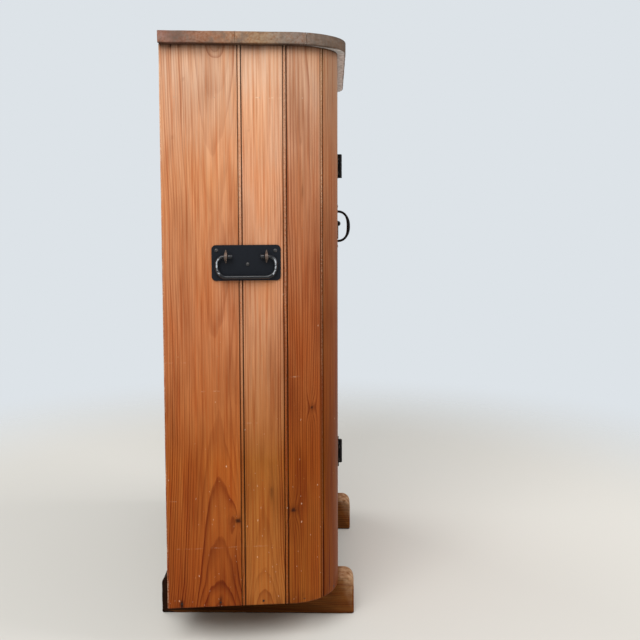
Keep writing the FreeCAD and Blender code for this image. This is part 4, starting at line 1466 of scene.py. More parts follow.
@dataclass
class Runners(SubAssembly):
    """Two sledge runners with rounded toes."""

    length: float = 444 * MM
    width: float = 60 * MM
    height: float = RUNNER_HEIGHT
    inset: float = 271 * MM
    foot_round: float = 4 * MM
    heel_round: float = 18 * MM
    toe_round: float = 24 * MM
    ease: float = 3.0 * MM
    rough: float = 0.7 * MM
    step: float = 4 * MM

    def outline(self) -> Array:
        """Side view of a runner, with even points along its straight sides.

        Returns:
            Y and Z of the closed outline.
        """
        half = self.length / 2
        radii = (self.foot_round, self.foot_round, self.heel_round, self.toe_round)
        corners = np.array([(-half, 0.0), (half, 0.0), (half, self.height), (-half, self.height)])
        arcs = []
        for number, radius in enumerate(radii):
            count = max(3, int(radius * math.pi / 2 / self.step) + 2)
            following = corners[(number + 1) % len(corners)]
            arcs.append(corner_arc(corners[number - 1], corners[number], following, radius, count))
        points = []
        for arc, following in zip(arcs, arcs[1:] + arcs[:1]):
            run = following[0] - arc[-1]
            shares = np.linspace(0, 1, int(np.linalg.norm(run) / self.step) + 2)[1:-1]
            points += [arc, arc[-1] + run * shares[:, None]]
        return np.concatenate(points)

    def build(self) -> None:
        """Make the runners."""
        outline = self.outline()
        for hand in Hand:
            node = hand.node("runner")
            sides = sorted((hand.value * self.inset, hand.value * (self.inset - self.width)))
            runner = Prism(node, outline, *sides, (1, 2, 0), self.ease, self.rough, 51 + hand.value).build()
            self.wear(runner, hand)
            heartwood(runner, (hand.value * 300 * MM, 0.0, 130 * MM), (0.0, 1.0, 0.03))
            settle(runner, "carcass", node, "runner_wood", self.finishes.runner)

    def wear(self, runner: Piece, hand: Hand) -> None:
        """Rub the toe pale, from lower down on the right runner partly as painted light, and scorch the heel.

        Args:
            runner: Runner piece.
            hand: Side of the cabinet.
        """
        x, y, z = points_of(runner).T
        half = self.length / 2
        ragged = 6 * MM * noise(z, x, (12, 12), 61)
        burnt = np.clip((y + ragged - half + 36 * MM) / (14 * MM), 0, 0.93)
        # The right runner's toe is rubbed pale from lower down, partly as painted light on the far toe
        brink = 52 * MM if hand is Hand.LEFT else 30 * MM
        toe = share(40 * MM - half - y, 12 * MM) * share(z - brink, 20 * MM)
        rubbed = toe * (0.75 + 0.35 * noise(x, y, (10, 6), 62))
        foot = 0.6 * (1 - share(z, 6 * MM))
        write_floats(runner, {"dark": np.maximum(burnt, foot), "pale": np.clip(rubbed, 0, 1),
                              "specks": np.full(len(x), 0.03)})


@dataclass
class Members(SubAssembly):
    """Frame timbers, floor, ribs and ledges: the CAD shapes with eased arrises and their own logs."""

    ease: float = 1.2 * MM

    def build(self) -> None:
        """Make the timbers."""
        up, across, back = (0.0, 0.01, 1.0), (1.0, 0.0, 0.01), (0.0, 1.0, 0.02)
        waxed, bare = self.finishes.member, self.finishes.inside
        timbers = [
            ("left_front_post", up, (-0.30, -0.13, 0.6), waxed),
            ("right_front_post", up, (0.23, -0.10, 0.6), waxed),
            ("front_top_rail", across, (0.0, -0.12, 1.20), waxed),
            ("front_bottom_rail", across, (0.0, -0.14, 0.16), waxed),
            ("door_stop", up, (0.25, -0.12, 0.6), bare),
            ("left_back_post", up, (-0.33, 0.12, 0.6), bare),
            ("right_back_post", up, (0.40, 0.10, 0.6), bare),
            ("back_top_rail", across, (0.0, 0.12, 1.26), bare),
            ("rear_floor_board", across, (0.0, 0.10, 0.06), bare),
            ("front_floor_board", across, (0.0, -0.06, 0.14), bare),
            ("left_ribs", back, (-0.45, 0.0, 0.5), bare),
            ("right_ribs", back, (0.45, 0.0, 0.5), bare),
            ("lower_door_ledge", across, (0.0, -0.10, 0.25), bare),
            ("middle_door_ledge", across, (0.0, -0.12, 0.72), bare),
            ("upper_door_ledge", across, (0.0, -0.10, 1.05), bare),
        ]
        for node, along, heart, finish in timbers:
            timber = softened(node, self.ease)
            heartwood(timber, heart, along)
            body = "door" if node.endswith("door_ledge") else "carcass"
            settle(timber, body, node, "pine", finish)


@dataclass
class Linings(SubAssembly):
    """Tin sheet inside the sides, on the floor and behind the door."""

    ease: float = 0.15 * MM

    def build(self) -> None:
        """Make the sheets."""
        for node in ("left_lining", "right_lining", "floor_lining", "door_lining"):
            body = "door" if node == "door_lining" else "carcass"
            settle(softened(node, self.ease, segments=1), body, node, "tinplate", self.finishes.tin)


# Ironwork


@dataclass
class Ironwork(SubAssembly):
    """Hinges, turn button, handle plates and eyes."""

    eye_offset: float = 42 * MM
    eye_reach: float = 13.5 * MM
    eye_pinch: float = 0.7

    def build(self) -> None:
        """Make the pieces from their CAD shapes, with worn arrises."""
        rows = [("turn_button", "turn_button", self.finishes.hinge, 0.5 * MM)]
        rows += [(hand.node("handle_plate"), "carcass", self.finishes.plate, 0.7 * MM) for hand in Hand]
        rows += [(hand.node("handle_eyes"), "carcass", self.finishes.rusty, 0.9 * MM) for hand in Hand]
        for level in ("lower", "upper"):
            for part, body in (("frame_leaf", "carcass"), ("door_leaf", "door"), ("pin", "carcass")):
                rows.append((level + "_hinge_" + part, body, self.finishes.hinge, 0.3 * MM))
        for node, body, finish, ease in rows:
            piece = softened(node, ease, edge_slot=1)
            if node.endswith("_eyes"):
                self.taper(piece, SideLine(Hand[node.split("_")[0].upper()]))
            arris = self.finishes.edge if finish is self.finishes.plate else finish
            settle(piece, body, node, "black_iron", finish, arris)

    def taper(self, eyes: Piece, line: SideLine) -> None:
        """Thin both eyes towards their tips, like hammered lugs.

        Args:
            eyes: The two eyes of one handle.
            line: Side that they stand on.
        """
        x, y = line.place(np.array(HANDLE_STATION), np.array(0.0))
        middle = Vector((float(x), float(y), 0.0))
        along = Vector((line.hand.value * -math.sin(line.toe), -math.cos(line.toe), 0.0))
        for vertex in eyes.data.vertices:
            offset = (vertex.co - middle).dot(along)
            centre = math.copysign(self.eye_offset, offset)
            tip = min(1.0, abs(vertex.co.z - BAIL_LEVEL) / self.eye_reach)
            vertex.co += along * (centre - offset) * self.eye_pinch * tip ** 1.6


@dataclass
class LiftingHandle(SubAssembly):
    """Drop bail of one lifting handle, in the frame of its plate."""

    line: SideLine
    centre: float = HANDLE_STATION
    level: float = BAIL_LEVEL
    out: float = 11.5 * MM
    width: float = 121 * MM
    drop: float = 42.5 * MM
    radius: float = 3.9 * MM
    end: float = 37.75 * MM
    knob: float = 4.9 * MM
    knob_length: float = 9 * MM
    knob_round: float = 1.5 * MM
    shoulder: float = 14.5 * MM
    corner: float = 20 * MM
    step: float = 1.2 * MM

    def spot(self, ahead: float, rise: float, out: float) -> Array:
        """Point in front of the plate.

        Args:
            ahead: Distance from the plate's middle towards the front.
            rise: Height above the bail's axis.
            out: Distance out from the side.

        Returns:
            Point in the cabinet's frame.
        """
        x, y = self.line.place(np.array(self.centre + ahead), np.array(-out))
        return np.array([float(x), float(y), self.level + rise])

    def path(self) -> Array:
        """Middle line of the bar, from one knobbed end round to the other.

        Returns:
            Evenly spaced points.
        """
        half, tip = self.width / 2, self.end - self.knob_length
        turns = [(-tip, 0), (-half, 0), (-half, -self.drop), (half, -self.drop), (half, 0), (tip, 0)]
        corners = [self.spot(ahead, rise, self.out) for ahead, rise in turns]
        runs = [corners[:1]]
        for number, radius in enumerate((self.shoulder, self.corner, self.corner, self.shoulder)):
            runs.append(corner_arc(*corners[number:number + 3], radius, 16))
        line = np.concatenate(runs + [corners[-1:]])
        travel = travelled(line)
        even = np.linspace(0, travel[-1], int(travel[-1] / self.step) + 1)
        return np.stack([np.interp(even, travel, column) for column in line.T], axis=1)

    def build(self) -> None:
        """Make the bail with its knobbed ends."""
        path = self.path()
        travel = travelled(path)
        from_end = np.minimum(travel, travel[-1] - travel)
        radii = np.where(from_end < self.knob_length, self.knob, self.radius)
        eased = self.knob * (0.72 + 0.28 * from_end / self.knob_round)
        radii = np.where(from_end < self.knob_round, eased, radii)
        node = self.line.hand.node("bail")
        bail = loft(node + "_finished", round_bar(path, radii))
        self.polish_and_glint(bail, path)
        settle(bail, node, node, "black_iron", self.finishes.bail)

    def polish_and_glint(self, bail: Piece, path: Array) -> None:
        """Paint a bright highlight on the outward face of both limbs, and a little on the grip, with some
        paint rubbed off there.

        Args:
            bail: Bail piece, whose points follow its path ring by ring.
            path: Middle line of the bar.
        """
        middle, outside, forward = self.spot(0, 0, 0), self.spot(0, 0, 1), self.spot(1 * MM, 0, 0)
        place = points_of(bail)
        line = np.repeat(path, len(place) // len(path), axis=0)
        facing = (place - line) @ (outside - middle) / self.radius
        ahead = np.abs((line - middle) @ (forward - middle)) / MM
        limb = share(ahead / (self.width / 2) - 0.78, 0.15, 0.08)
        write_floats(bail, {"rub": 1.1 * limb * share(facing - 0.86, 0.1)})


@dataclass
class PullHandle(SubAssembly):
    """Bow pull on the door, with a swollen grip and two screw pads.

    Attributes:
        bow: Squareness of the bow, where 2 is an ellipse.
    """

    x: float = 181.95 * MM
    z: float = 878 * MM
    front: float = DOOR_FRONT
    spacing: float = 82 * MM
    projection: float = 36.5 * MM
    arm: float = 3.3 * MM
    grip: float = 4.8 * MM
    grip_length: float = 56 * MM
    pad: float = 2.0 * MM
    pad_radius: float = 7 * MM
    pad_reach: float = 14 * MM
    bow: float = 2.4

    def pad_rows(self, sign: int) -> Array:
        """Sections of one pad, which reaches away from the bow.

        Args:
            sign: 1 for the upper pad and -1 for the lower one.

        Returns:
            Array of sections, points and xyz.
        """
        turn = np.linspace(0, math.tau, 28, endpoint=False)
        across, up = self.pad_radius * np.cos(turn), self.pad_radius * np.sin(turn)
        middle = self.z + sign * self.spacing / 2 + np.where(up * sign > 0, sign * self.pad_reach, 0.0)
        rows = []
        for rise, inset in ((0.0, 0.0), (0.7, 0.0), (0.93, 0.06), (1.0, 0.16)):
            y = np.full_like(turn, self.front - rise * self.pad)
            rows.append(np.stack([self.x + across * (1 - inset), y, middle + up * (1 - inset)], axis=1))
        return np.array(rows)

    def build(self) -> None:
        """Make the bow and its pads as one piece."""
        turn = np.linspace(0, math.pi, 90)
        lift = np.sign(np.cos(turn)) * np.abs(np.cos(turn)) ** (2 / self.bow)
        out = (self.grip - self.projection) * np.sin(turn) ** (2 / self.bow)
        up = self.z + self.spacing / 2 * lift
        path = np.stack([np.full_like(turn, self.x), self.front + out, up], axis=1)
        swell = np.clip(1 - (np.abs(path[:, 2] - self.z) / (self.grip_length / 2)) ** 2, 0, 1)
        bar = round_bar(path, self.arm + (self.grip - self.arm) * swell)
        pull = loft("pull_handle_finished", bar, self.pad_rows(-1), self.pad_rows(1))
        settle(pull, "door", "pull_handle", "black_iron", self.finishes.hinge)


# Repeated pieces


def node_group(name: str, inputs: dict[str, str]) -> tuple[Tree, bpy.types.NodeOutputs]:
    """Start a geometry node tree with named inputs.

    Args:
        name: Name of the tree.
        inputs: Input name to the kind of its socket.

    Returns:
        The tree, and the sockets that give its inputs.
    """
    tree = bpy.data.node_groups.new(name, "GeometryNodeTree")
    for side in ("INPUT", "OUTPUT"):
        tree.interface.new_socket("Geometry", in_out=side, socket_type="NodeSocketGeometry")
    for label, kind in inputs.items():
        tree.interface.new_socket(label, in_out="INPUT", socket_type="NodeSocket" + kind)
    return tree, add(tree, "NodeGroupInput").node.outputs


def end_group(tree: Tree, copies: Socket, finish: Socket) -> None:
    """End a tree by making its copies real and giving them their finish.

    Args:
        tree: Node tree.
        copies: Instances.
        finish: Material input.
    """
    real = add(tree, "GeometryNodeRealizeInstances", {"Geometry": copies})
    done = add(tree, "GeometryNodeSetMaterial", {"Geometry": real, "Material": finish})
    add(tree, "NodeGroupOutput", [done])


def grown(name: str, tree: Tree, points: Array, traits: dict[str, Array], values: dict) -> Piece:
    """Run a node tree on points and keep the result as a plain mesh.

    Args:
        name: Name of the new piece.
        tree: Node tree.
        points: Points that it grows on.
        traits: Attribute name to its value at each point.
        values: Input name to value.

    Returns:
        The new object.
    """
    mesh = bpy.data.meshes.new(name + "_points")
    mesh.from_pydata(points.tolist(), [], [])
    seedbed = linked(name + "_points", mesh)
    write_floats(seedbed, traits)
    modifier = seedbed.modifiers.new("grown", "NODES")
    modifier.node_group = tree
    for item in tree.interface.items_tree:
        if item.in_out == "INPUT" and item.name in values:
            modifier[item.identifier] = values[item.name]
    piece = baked(name, seedbed)
    shaded(piece.data)
    return piece


@dataclass
class FastenerHeads:
    """Heads of nails or screws, set out on points that each have a direction."""

    head: Head
    radius: float
    height: float
    slot: float = 0.8 * MM
    seed: int = 7

    def tree(self) -> Tree:
        """Node tree that puts a head on each point, turned by chance.

        Returns:
            The new tree.
        """
        tree, given = node_group("heads, " + self.head.value, {
            "Head radius": "Float", "Head height": "Float", "Slot width": "Float", "Seed": "Int",
            "Finish": "Material"})
        radius, height = given["Head radius"], given["Head height"]
        if self.head is Head.DOMED:
            ball = add(tree, "GeometryNodeMeshUVSphere", {"Segments": 18, "Rings": 10, "Radius": radius})
            flat = add(tree, "Math", [height, radius], operation="DIVIDE")
            scale = add(tree, "CombineXYZ", [1.0, 1.0, flat])
            shape = add(tree, "GeometryNodeTransform", {"Geometry": ball, "Scale": scale})
        else:
            shape = add(tree, "GeometryNodeMeshCylinder",
                        {"Vertices": 14, "Radius": radius, "Depth": height})
        if self.head is Head.SLOTTED:
            long = add(tree, "Math", [radius, 4.0], operation="MULTIPLY")
            size = add(tree, "CombineXYZ", [long, given["Slot width"], height])
            blade = add(tree, "GeometryNodeMeshCube", {"Size": size})
            lift = add(tree, "Math", [height, 0.5], operation="MULTIPLY")
            move = add(tree, "CombineXYZ", {2: lift})
            blade = add(tree, "GeometryNodeTransform", {"Geometry": blade, "Translation": move})
            shape = add(tree, "GeometryNodeMeshBoolean", {"Mesh 1": shape, "Mesh 2": blade},
                        operation="DIFFERENCE")
        aim = add(tree, "GeometryNodeInputNamedAttribute", {"Name": "aim"}, data_type="FLOAT_VECTOR")
        turn = add(tree, "FunctionNodeAlignRotationToVector", {"Vector": aim}, axis="Z")
        dots = add(tree, "GeometryNodeMeshToPoints", {"Mesh": given["Geometry"]})
        copies = add(tree, "GeometryNodeInstanceOnPoints",
                     {"Points": dots, "Instance": shape, "Rotation": turn})
        chance = add(tree, "FunctionNodeRandomValue", {"Min": (0.0, 0.0, -1.5), "Max": (0.0, 0.0, 1.5),
                                                       "Seed": given["Seed"]}, data_type="FLOAT_VECTOR")
        spun = add(tree, "GeometryNodeRotateInstances", {"Instances": copies, "Rotation": chance})
        end_group(tree, spun, given["Finish"])
        return tree

    def build(self, name: str, spots: Pair, finish: Material, tones: Optional[Array] = None) -> Piece:
        """Put the heads on their points.

        Args:
            name: Name of the new piece.
            spots: Middle of each head, and the direction that it faces.
            finish: Material of the heads.
            tones: Colour of each head, for a finish that reads it.

        Returns:
            One plain mesh with all heads.
        """
        points, aims = spots
        traits = {"aim": aims} if tones is None else {"aim": aims, "tone": tones}
        values = {"Head radius": self.radius, "Head height": self.height, "Slot width": self.slot,
                  "Seed": self.seed, "Finish": finish}
        return grown(name, self.tree(), points, traits, values)


@dataclass
class Fastenings(SubAssembly):
    """Nails of the boards and plates, and screws of the hinges, the pull and the turn button."""

    pull: PullHandle
    stations: tuple[float, ...] = (30 * MM, 112 * MM, 203.25 * MM, 291.25 * MM, 378.66 * MM)
    foot_level: float = 96 * MM
    rib_levels: tuple[float, ...] = (360 * MM, 627 * MM, 894 * MM, 1161 * MM)
    plate_level: float = 822.5 * MM
    plate_thickness: float = 2.5 * MM
    plate_nails: tuple[tuple[float, float], ...] = ((-61.5, 26), (60, 25), (3, -3), (-54, -26), (54, -26))
    hinge_levels: tuple[float, float] = (370 * MM, 1027 * MM)
    hinge_x: float = -228.95 * MM
    leaf_thickness: float = 2.5 * MM
    leaf_reach: float = 17.9 * MM
    screw_rise: float = 15 * MM
    button: tuple[float, float] = (251.95 * MM, 883.5 * MM)
    button_lift: float = 4.6 * MM

    def on_sides(self, spots: Sequence[tuple[float, float]], out: float) -> Pair:
        """Points on both sides, with the directions that they face.

        Args:
            spots: Station and height of each point.
            out: Distance out from the boards.

        Returns:
            Points and directions.
        """
        stations, heights = np.array(spots).T
        points, aims = [], []
        for hand in Hand:
            line = SideLine(hand)
            near, far = (np.stack([*line.place(stations, np.full_like(stations, -reach)), heights], axis=1)
                         for reach in (out, out + 10 * MM))
            points.append(near)
            aims.append(unit(far - near))
        return np.concatenate(points), np.concatenate(aims)

    def on_front(self, spots: Sequence[tuple[float, float]], out: float) -> Pair:
        """Points on the front, which all face forwards.

        Args:
            spots: X and Z of each point.
            out: Distance out from the front.

        Returns:
            Points and directions.
        """
        points = np.array([(x, DOOR_FRONT - out, z) for x, z in spots])
        return points, np.tile((0.0, -1.0, 0.0), (len(points), 1))

    def tones(self, figures: Sequence[BoardFigure], spots: Sequence[tuple[float, float]]) -> Array:
        """Colour of the boards round each nail of one side.

        Args:
            figures: Figures of the side's boards.
            spots: Station and height of each nail.

        Returns:
            Linear RGBA for each nail.
        """
        owners = [max(0, self.stations.index(station) - 1) for station, _ in spots]
        return np.concatenate([figures[owner].tone(np.array([z])) for owner, (_, z) in zip(owners, spots)])

    def build(self) -> None:
        """Make the heads of the nails, then those of the screws."""
        foot = [(station, self.foot_level) for station in self.stations]
        ribs = [(station, level) for level in self.rib_levels for station in self.stations]
        plate = [(HANDLE_STATION + ahead * MM, self.plate_level + up * MM) for ahead, up in self.plate_nails]
        tones = np.concatenate([self.tones(left_figures(), ribs), self.tones(right_figures(), ribs)])
        cut = FastenerHeads(Head.FLAT, 2.2 * MM, 0.9 * MM)
        sunk = FastenerHeads(Head.FLAT, 1.6 * MM, 0.6 * MM)
        domed = FastenerHeads(Head.DOMED, 4.2 * MM, 2.2 * MM)
        slotted = FastenerHeads(Head.SLOTTED, 3.2 * MM, 1.2 * MM)
        bold = FastenerHeads(Head.DOMED, 7 * MM, 6 * MM)
        made = self.finishes
        nails = cut.build("foot_nails_finished", self.on_sides(foot, -0.5 * MM), made.nail)
        settle(nails, "carcass", "board_nails", "worn_steel")
        nails = sunk.build("stopped_nails_finished", self.on_sides(ribs, -0.38 * MM), made.stopped, tones)
        settle(nails, "carcass", "board_nails", "worn_steel")
        nails = domed.build("handle_nails_finished", self.on_sides(plate, self.plate_thickness), made.rivet)
        settle(nails, "carcass", "handle_nails", "black_iron")
        frame_leaf, door_leaf = (self.on_leaf(sign, slotted.height / 2) for sign in (-1, 1))
        reach = self.pull.spacing / 2 + self.pull.pad_reach
        pads = [(self.pull.x, self.pull.z + sign * reach) for sign in (-1, 1)]
        pads = self.on_front(pads, self.pull.pad + 0.3 * MM)
        on_door = tuple(np.concatenate(pair) for pair in zip(door_leaf, pads))
        button = self.on_front([self.button], self.button_lift)
        for node, heads, spots, finish, body in (("frame_screws", slotted, frame_leaf, made.screw, "carcass"),
                                                 ("door_screws", slotted, on_door, made.screw, "door"),
                                                 ("turn_button_screw", bold, button, made.hinge, "carcass")):
            settle(heads.build(node + "_finished", spots, finish), body, node, "worn_steel")

    def on_leaf(self, sign: int, lift: float) -> Pair:
        """Screw points of one leaf of both hinges.

        Args:
            sign: -1 for the frame's leaf and 1 for the door's.
            lift: Distance out from the leaf.

        Returns:
            Points and directions.
        """
        rises = (-self.screw_rise, self.screw_rise)
        spots = [(self.hinge_x + sign * self.leaf_reach, level + rise)
                 for level in self.hinge_levels for rise in rises]
        return self.on_front(spots, self.leaf_thickness + lift)


@dataclass
class Shelves(SubAssembly):
    """Three slatted iron shelves on the ribs."""

    levels: tuple[float, ...] = (372 * MM, 639 * MM, 906 * MM)
    start: float = -127 * MM
    pitch: float = 38 * MM
    width: float = 24 * MM
    thickness: float = 4 * MM
    count: int = 7
    strap_x: float = 170 * MM
    strap_width: float = 20 * MM
    lining_depth: float = 21.4 * MM
    clearance: float = 3 * MM

    def tree(self) -> Tree:
        """Node tree that lays a bar of its own size on each point.

        Returns:
            The new tree.
        """
        tree, given = node_group("shelf bars", {"Thickness": "Float", "Finish": "Material"})
        block = add(tree, "CombineXYZ", [1.0, 1.0, given["Thickness"]])
        bar = add(tree, "GeometryNodeMeshCube", {"Size": block})
        dots = add(tree, "GeometryNodeMeshToPoints", {"Mesh": given["Geometry"]})
        size = add(tree, "GeometryNodeInputNamedAttribute", {"Name": "size"}, data_type="FLOAT_VECTOR")
        copies = add(tree, "GeometryNodeInstanceOnPoints", {"Points": dots, "Instance": bar, "Scale": size})
        end_group(tree, copies, given["Finish"])
        return tree

    def reach(self, y: float) -> float:
        """Half length of a slat that stays clear of the lining.

        Args:
            y: Y of its front edge.

        Returns:
            Half length.
        """
        line = SideLine(Hand.LEFT)
        station = np.linspace(0, line.length, 900)
        x, along = line.place(station, np.full_like(station, self.lining_depth))
        return float(-np.interp(-y, -along, x)) - self.clearance

    def build(self) -> None:
        """Make the shelves."""
        tree = self.tree()
        starts = self.start + self.pitch * np.arange(self.count)
        end = starts[-1] + self.width
        sizes = [(2 * self.reach(y), self.width, 1.0) for y in starts]
        sizes += [(self.strap_width, end - self.start, 1.0)] * 2
        for word, level in zip(("lower", "middle", "upper"), self.levels):
            node = word + "_shelf"
            points = [(0.0, y + self.width / 2, level + self.thickness / 2) for y in starts]
            for sign in (-1, 1):
                points.append((sign * self.strap_x, (self.start + end) / 2, level - self.thickness / 2))
            values = {"Thickness": self.thickness, "Finish": self.finishes.slat}
            shelf = grown(node + "_finished", tree, np.array(points), {"size": np.array(sizes)}, values)
            settle(shelf, "carcass", node, "black_iron")


# Studio


@dataclass
class Studio:
    """Pale floor, soft lamps and a camera square to the left side.

    Attributes:
        eye: Place of the camera.
        yaw: Turn of the camera to its left, in radians.
        pitch: Tilt down, in radians.
        roll: Roll, in radians.
        focal: Focal length in pixels of the picture.
        centre_row: Row of the picture that the camera points at.
        frame_size: Width and height of the picture in pixels.
        sensor: Width of the sensor in millimetres.
        floor_half: Half width of the floor.
        aim: Point that the lamps shine at.
    """

    eye: tuple[float, float, float] = (-2.08068, -0.17779, 0.95401)
    yaw: float = 0.0177
    pitch: float = 0.0729
    roll: float = -0.0027
    focal: float = 812.822
    centre_row: float = 258.26
    frame_size: float = 640.0
    sensor: float = 36.0
    floor_half: float = 14.0
    aim: tuple[float, float, float] = (0.0, 0.0, 0.7)

    def build(self) -> None:
        """Make the floor, the light and the camera."""
        bpy.context.scene.view_settings.view_transform = "Standard"
        self.floor()
        self.light()
        self.camera()

    def floor(self) -> None:
        """Make the floor, which keeps the shadow."""
        mesh = bpy.data.meshes.new("studio_floor")
        half = self.floor_half
        corners = [(-half, -half, 0), (half, -half, 0), (half, half, 0), (-half, half, 0)]
        mesh.from_pydata(corners, [], [(0, 1, 2, 3)])
        mesh.materials.append(FloorPaint("pale studio floor").build())
        linked("studio_floor", mesh)

    def light(self) -> None:
        """Make the soft lamps and the surrounding light, which is paler where the camera sees it."""
        world = bpy.data.worlds.new("studio")
        bpy.context.scene.world = world
        world.use_nodes = True
        tree = world.node_tree
        tree.nodes.clear()
        rays = add(tree, "LightPath").node.outputs
        seen = add(tree, "Math", [rays["Is Camera Ray"], rays["Is Transmission Ray"]],
                   operation="MAXIMUM")
        fill = add(tree, "Background", {"Color": linear("#F4F7FA"), "Strength": 0.5})
        wall = add(tree, "Background", {"Color": linear("#DDE3E8"), "Strength": 1.0})
        mixed = add(tree, "MixShader", [seen, fill, wall])
        add(tree, "OutputWorld", {"Surface": mixed})
        lamps = {"over left": ((-2.4, 0.6, 3.0), 2.2, 95.0), "over front": ((-0.3, -3.0, 2.6), 2.0, 70.0),
                 "over back": ((1.6, 2.6, 2.8), 2.0, 55.0)}
        for name, (place, size, power) in lamps.items():
            lamp = bpy.data.lights.new(name, "AREA")
            lamp.shape = "SQUARE"
            lamp.size = size
            lamp.energy = power
            item = linked(name, lamp)
            item.location = place
            item.rotation_mode = "QUATERNION"
            item.rotation_quaternion = (Vector(self.aim) - Vector(place)).to_track_quat("-Z", "Y")

    def camera(self) -> None:
        """Stand the camera where the picture was taken from."""
        data = bpy.data.cameras.new("camera")
        data.sensor_width = self.sensor
        data.lens = self.focal / self.frame_size * self.sensor
        data.shift_y = (self.centre_row - self.frame_size / 2) / self.frame_size
        data.clip_end = 100.0
        level = math.cos(self.pitch)
        forward = Vector((math.cos(self.yaw) * level, math.sin(self.yaw) * level, -math.sin(self.pitch)))
        right = Vector((math.sin(self.yaw), -math.cos(self.yaw), 0.0))
        up = right.cross(forward)
        cosine, sine = math.cos(self.roll), math.sin(self.roll)
        rows = Matrix((right * cosine + up * sine, up * cosine - right * sine, -forward))
        camera = linked("camera", data)
        camera.matrix_world = Matrix.Translation(Vector(self.eye)) @ rows.transposed().to_4x4()
        bpy.context.scene.camera = camera


# This cabinet's own boards


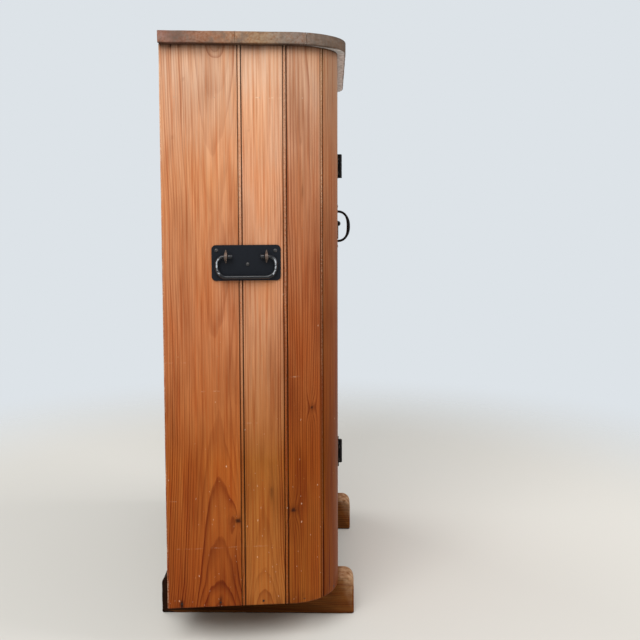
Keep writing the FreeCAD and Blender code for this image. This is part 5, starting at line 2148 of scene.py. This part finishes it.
def left_figures() -> tuple[BoardFigure, ...]:
    """Grain and marks of the four boards on the left side, from the back.

    Returns:
        One figure for each board.
    """
    flame = Flame(
        112 * MM,
        (0.09, 0.141, 0.241, 0.351, 0.445, 0.58, 0.70, 0.80, 0.89, 0.92, 0.95, 0.99, 1.171, 1.2337, 1.267),
        (-5.5, -4.35, -3.35, -2.35, -1.35, -1.0, -1.35, -1.85, -1.35, -1.2, -1.35, -1.7, -3.35, -4.0, -4.3),
        arches=((0.141, 0.25), (0.445, 0.25), (0.70, 0.4), (0.89, 0.4), (1.2425, 0.8), (1.2545, 0.6)),
        curl=75.0)
    # Tones darken towards the foot partly with wear and partly as painted light falling from above
    first = BoardFigure(
        101, ((0.12, "#984E1B"), (0.4, "#AF642B"), (0.71, "#C27D52"), (1.0, "#CF9369"), (1.21, "#D1A88B")),
        flame=flame, knots=(Knot(151, 274, 6),),
        stains=(Stain(8, 480, 14, 90, 0.4), Stain(30, 94, 5, 14, 1.0), Stain(135, 775, 22, 115, -0.5),
                Stain(113, 93, 6, 20, 1.2), Stain(112, 132, 9, 14, 0.4), Stain(49, 1197, 2, 2.5, 0.8),
                Stain(26, 1080, 2.5, 4, 0.6), Stain(50, 1258, 60, 16, 0.55), Stain(30, 1264, 42, 8, 0.95),
                Stain(136, 465, 16, 75, 0.35), Stain(112, 310, 14, 34, -0.22)),
        scratches=(Scratch(20, 157, 217, 0.14), Scratch(2, 45, 615, 0.25), Scratch(75, 120, 553, 0.2),
                   Scratch(0, 22, 320, 0.15)), knocked=0.05)
    fan = Flame(206 * MM, (0.05, 0.11, 0.16, 0.24, 0.40, 1.4), (-3.6, -2.5, -1.35, -0.6, 0, 0.3),
                spread=24 * MM, flank=34 * MM, arches=((0.16, 0.2),))
    second = BoardFigure(
        202, ((0.12, "#A8672F"), (0.4, "#A3642B"), (0.71, "#CA916B"), (1.0, "#D9A17D"), (1.21, "#D6AE91")),
        flame=fan,
        stains=(Stain(222, 335, 7, 45, 0.6), Stain(204, 420, 10, 50, 0.4), Stain(203, 96, 3, 5, 0.8),
                Stain(180, 1094, 2, 2, 0.6)),
        scratches=(Scratch(176, 189, 1161.5, 0.7), Scratch(194, 206, 1162, 0.6),
                   Scratch(222, 231, 1160.5, 0.5), Scratch(242, 248, 1161, 0.7),
                   Scratch(168, 225, 217, 0.22), Scratch(170, 195, 485, 0.25)),
        knocked=0.09)
    third = BoardFigure(
        303, ((0.12, "#9B581E"), (0.4, "#964E18"), (0.71, "#A56036"), (1.0, "#BC8360"), (1.21, "#C69E82")),
        lean=-0.006, knots=(Knot(268, 293, 4.5), Knot(310, 512, 3.5)),
        stains=(Stain(291, 975, 4, 40, 0.6), Stain(287, 1074, 2, 10, 0.6), Stain(289, 104, 4, 14, 0.6)),
        scratches=(Scratch(262, 282, 582, 0.3),), knocked=0.05)
    fourth = BoardFigure(
        404, ((0.12, "#7C3E08"), (0.4, "#783C0A"), (0.71, "#874D26"), (1.0, "#A9714D"), (1.21, "#AA8365")),
        spacing=5.5 * MM, lean=0.004, stains=(Stain(362, 110, 4, 14, 0.65),), knocked=0.03)
    return (first, second, third, fourth)


def other_figures(seed: int, edges: Sequence[float]) -> tuple[BoardFigure, ...]:
    """Grain of the other boards, in the same wood.

    Args:
        seed: Fixed seed.
        edges: Start of each board, and the end of the last one.

    Returns:
        One figure for each board.
    """
    chance = np.random.default_rng(seed)
    # The same darkening towards the foot, partly wear and partly painted light from above
    tones = ((0.12, "#904C18"), (0.4, "#9C5822"), (0.71, "#B67248"), (1.0, "#C48A64"), (1.21, "#CCA080"))
    figures = []
    for index, (start, end) in enumerate(zip(edges, edges[1:])):
        flame = None
        if chance.uniform() < 0.45:
            heights = np.cumsum(chance.uniform(0.05, 0.3, 9))
            middle = start + float(chance.uniform(0.3, 0.7)) * (end - start)
            counts = -2.2 * np.abs(np.arange(9) - 4.0)
            flame = Flame(middle, tuple(heights.tolist()), tuple(counts.tolist()))
        figures.append(BoardFigure(seed + 10 * index, tones, spacing=float(chance.uniform(5.0, 7.5)) * MM,
                                   lean=float(chance.uniform(-0.012, 0.012)), flame=flame,
                                   knocked=float(chance.uniform(0.02, 0.08)),
                                   lift=float(chance.uniform(0.85, 1.1))))
    return tuple(figures)


def right_figures() -> tuple[BoardFigure, ...]:
    """Grain of the four boards on the right side."""
    return other_figures(700, (0.0, *SIDE_JOINTS, 424.3 * MM))


def main() -> None:
    """Build the cabinet piece by piece, then the studio."""
    logging.basicConfig(level=logging.INFO, format="%(message)s")
    finishes = Finishes()
    pull = PullHandle(finishes)
    door = other_figures(900, np.linspace(0.0, 2 * DOOR_HALF, 6).tolist())
    left, right = SideLine(Hand.LEFT), SideLine(Hand.RIGHT)
    assemblies = [SideBoards(finishes, left, left_figures()), SideBoards(finishes, right, right_figures()),
                  TopBoards(finishes), Runners(finishes), Members(finishes), Linings(finishes),
                  Door(finishes, door), Ironwork(finishes), LiftingHandle(finishes, left),
                  LiftingHandle(finishes, right), pull, Fastenings(finishes, pull), Shelves(finishes)]
    for assembly in assemblies:
        assembly.build()
    Studio().build()


if __name__ == "__main__":
    main()
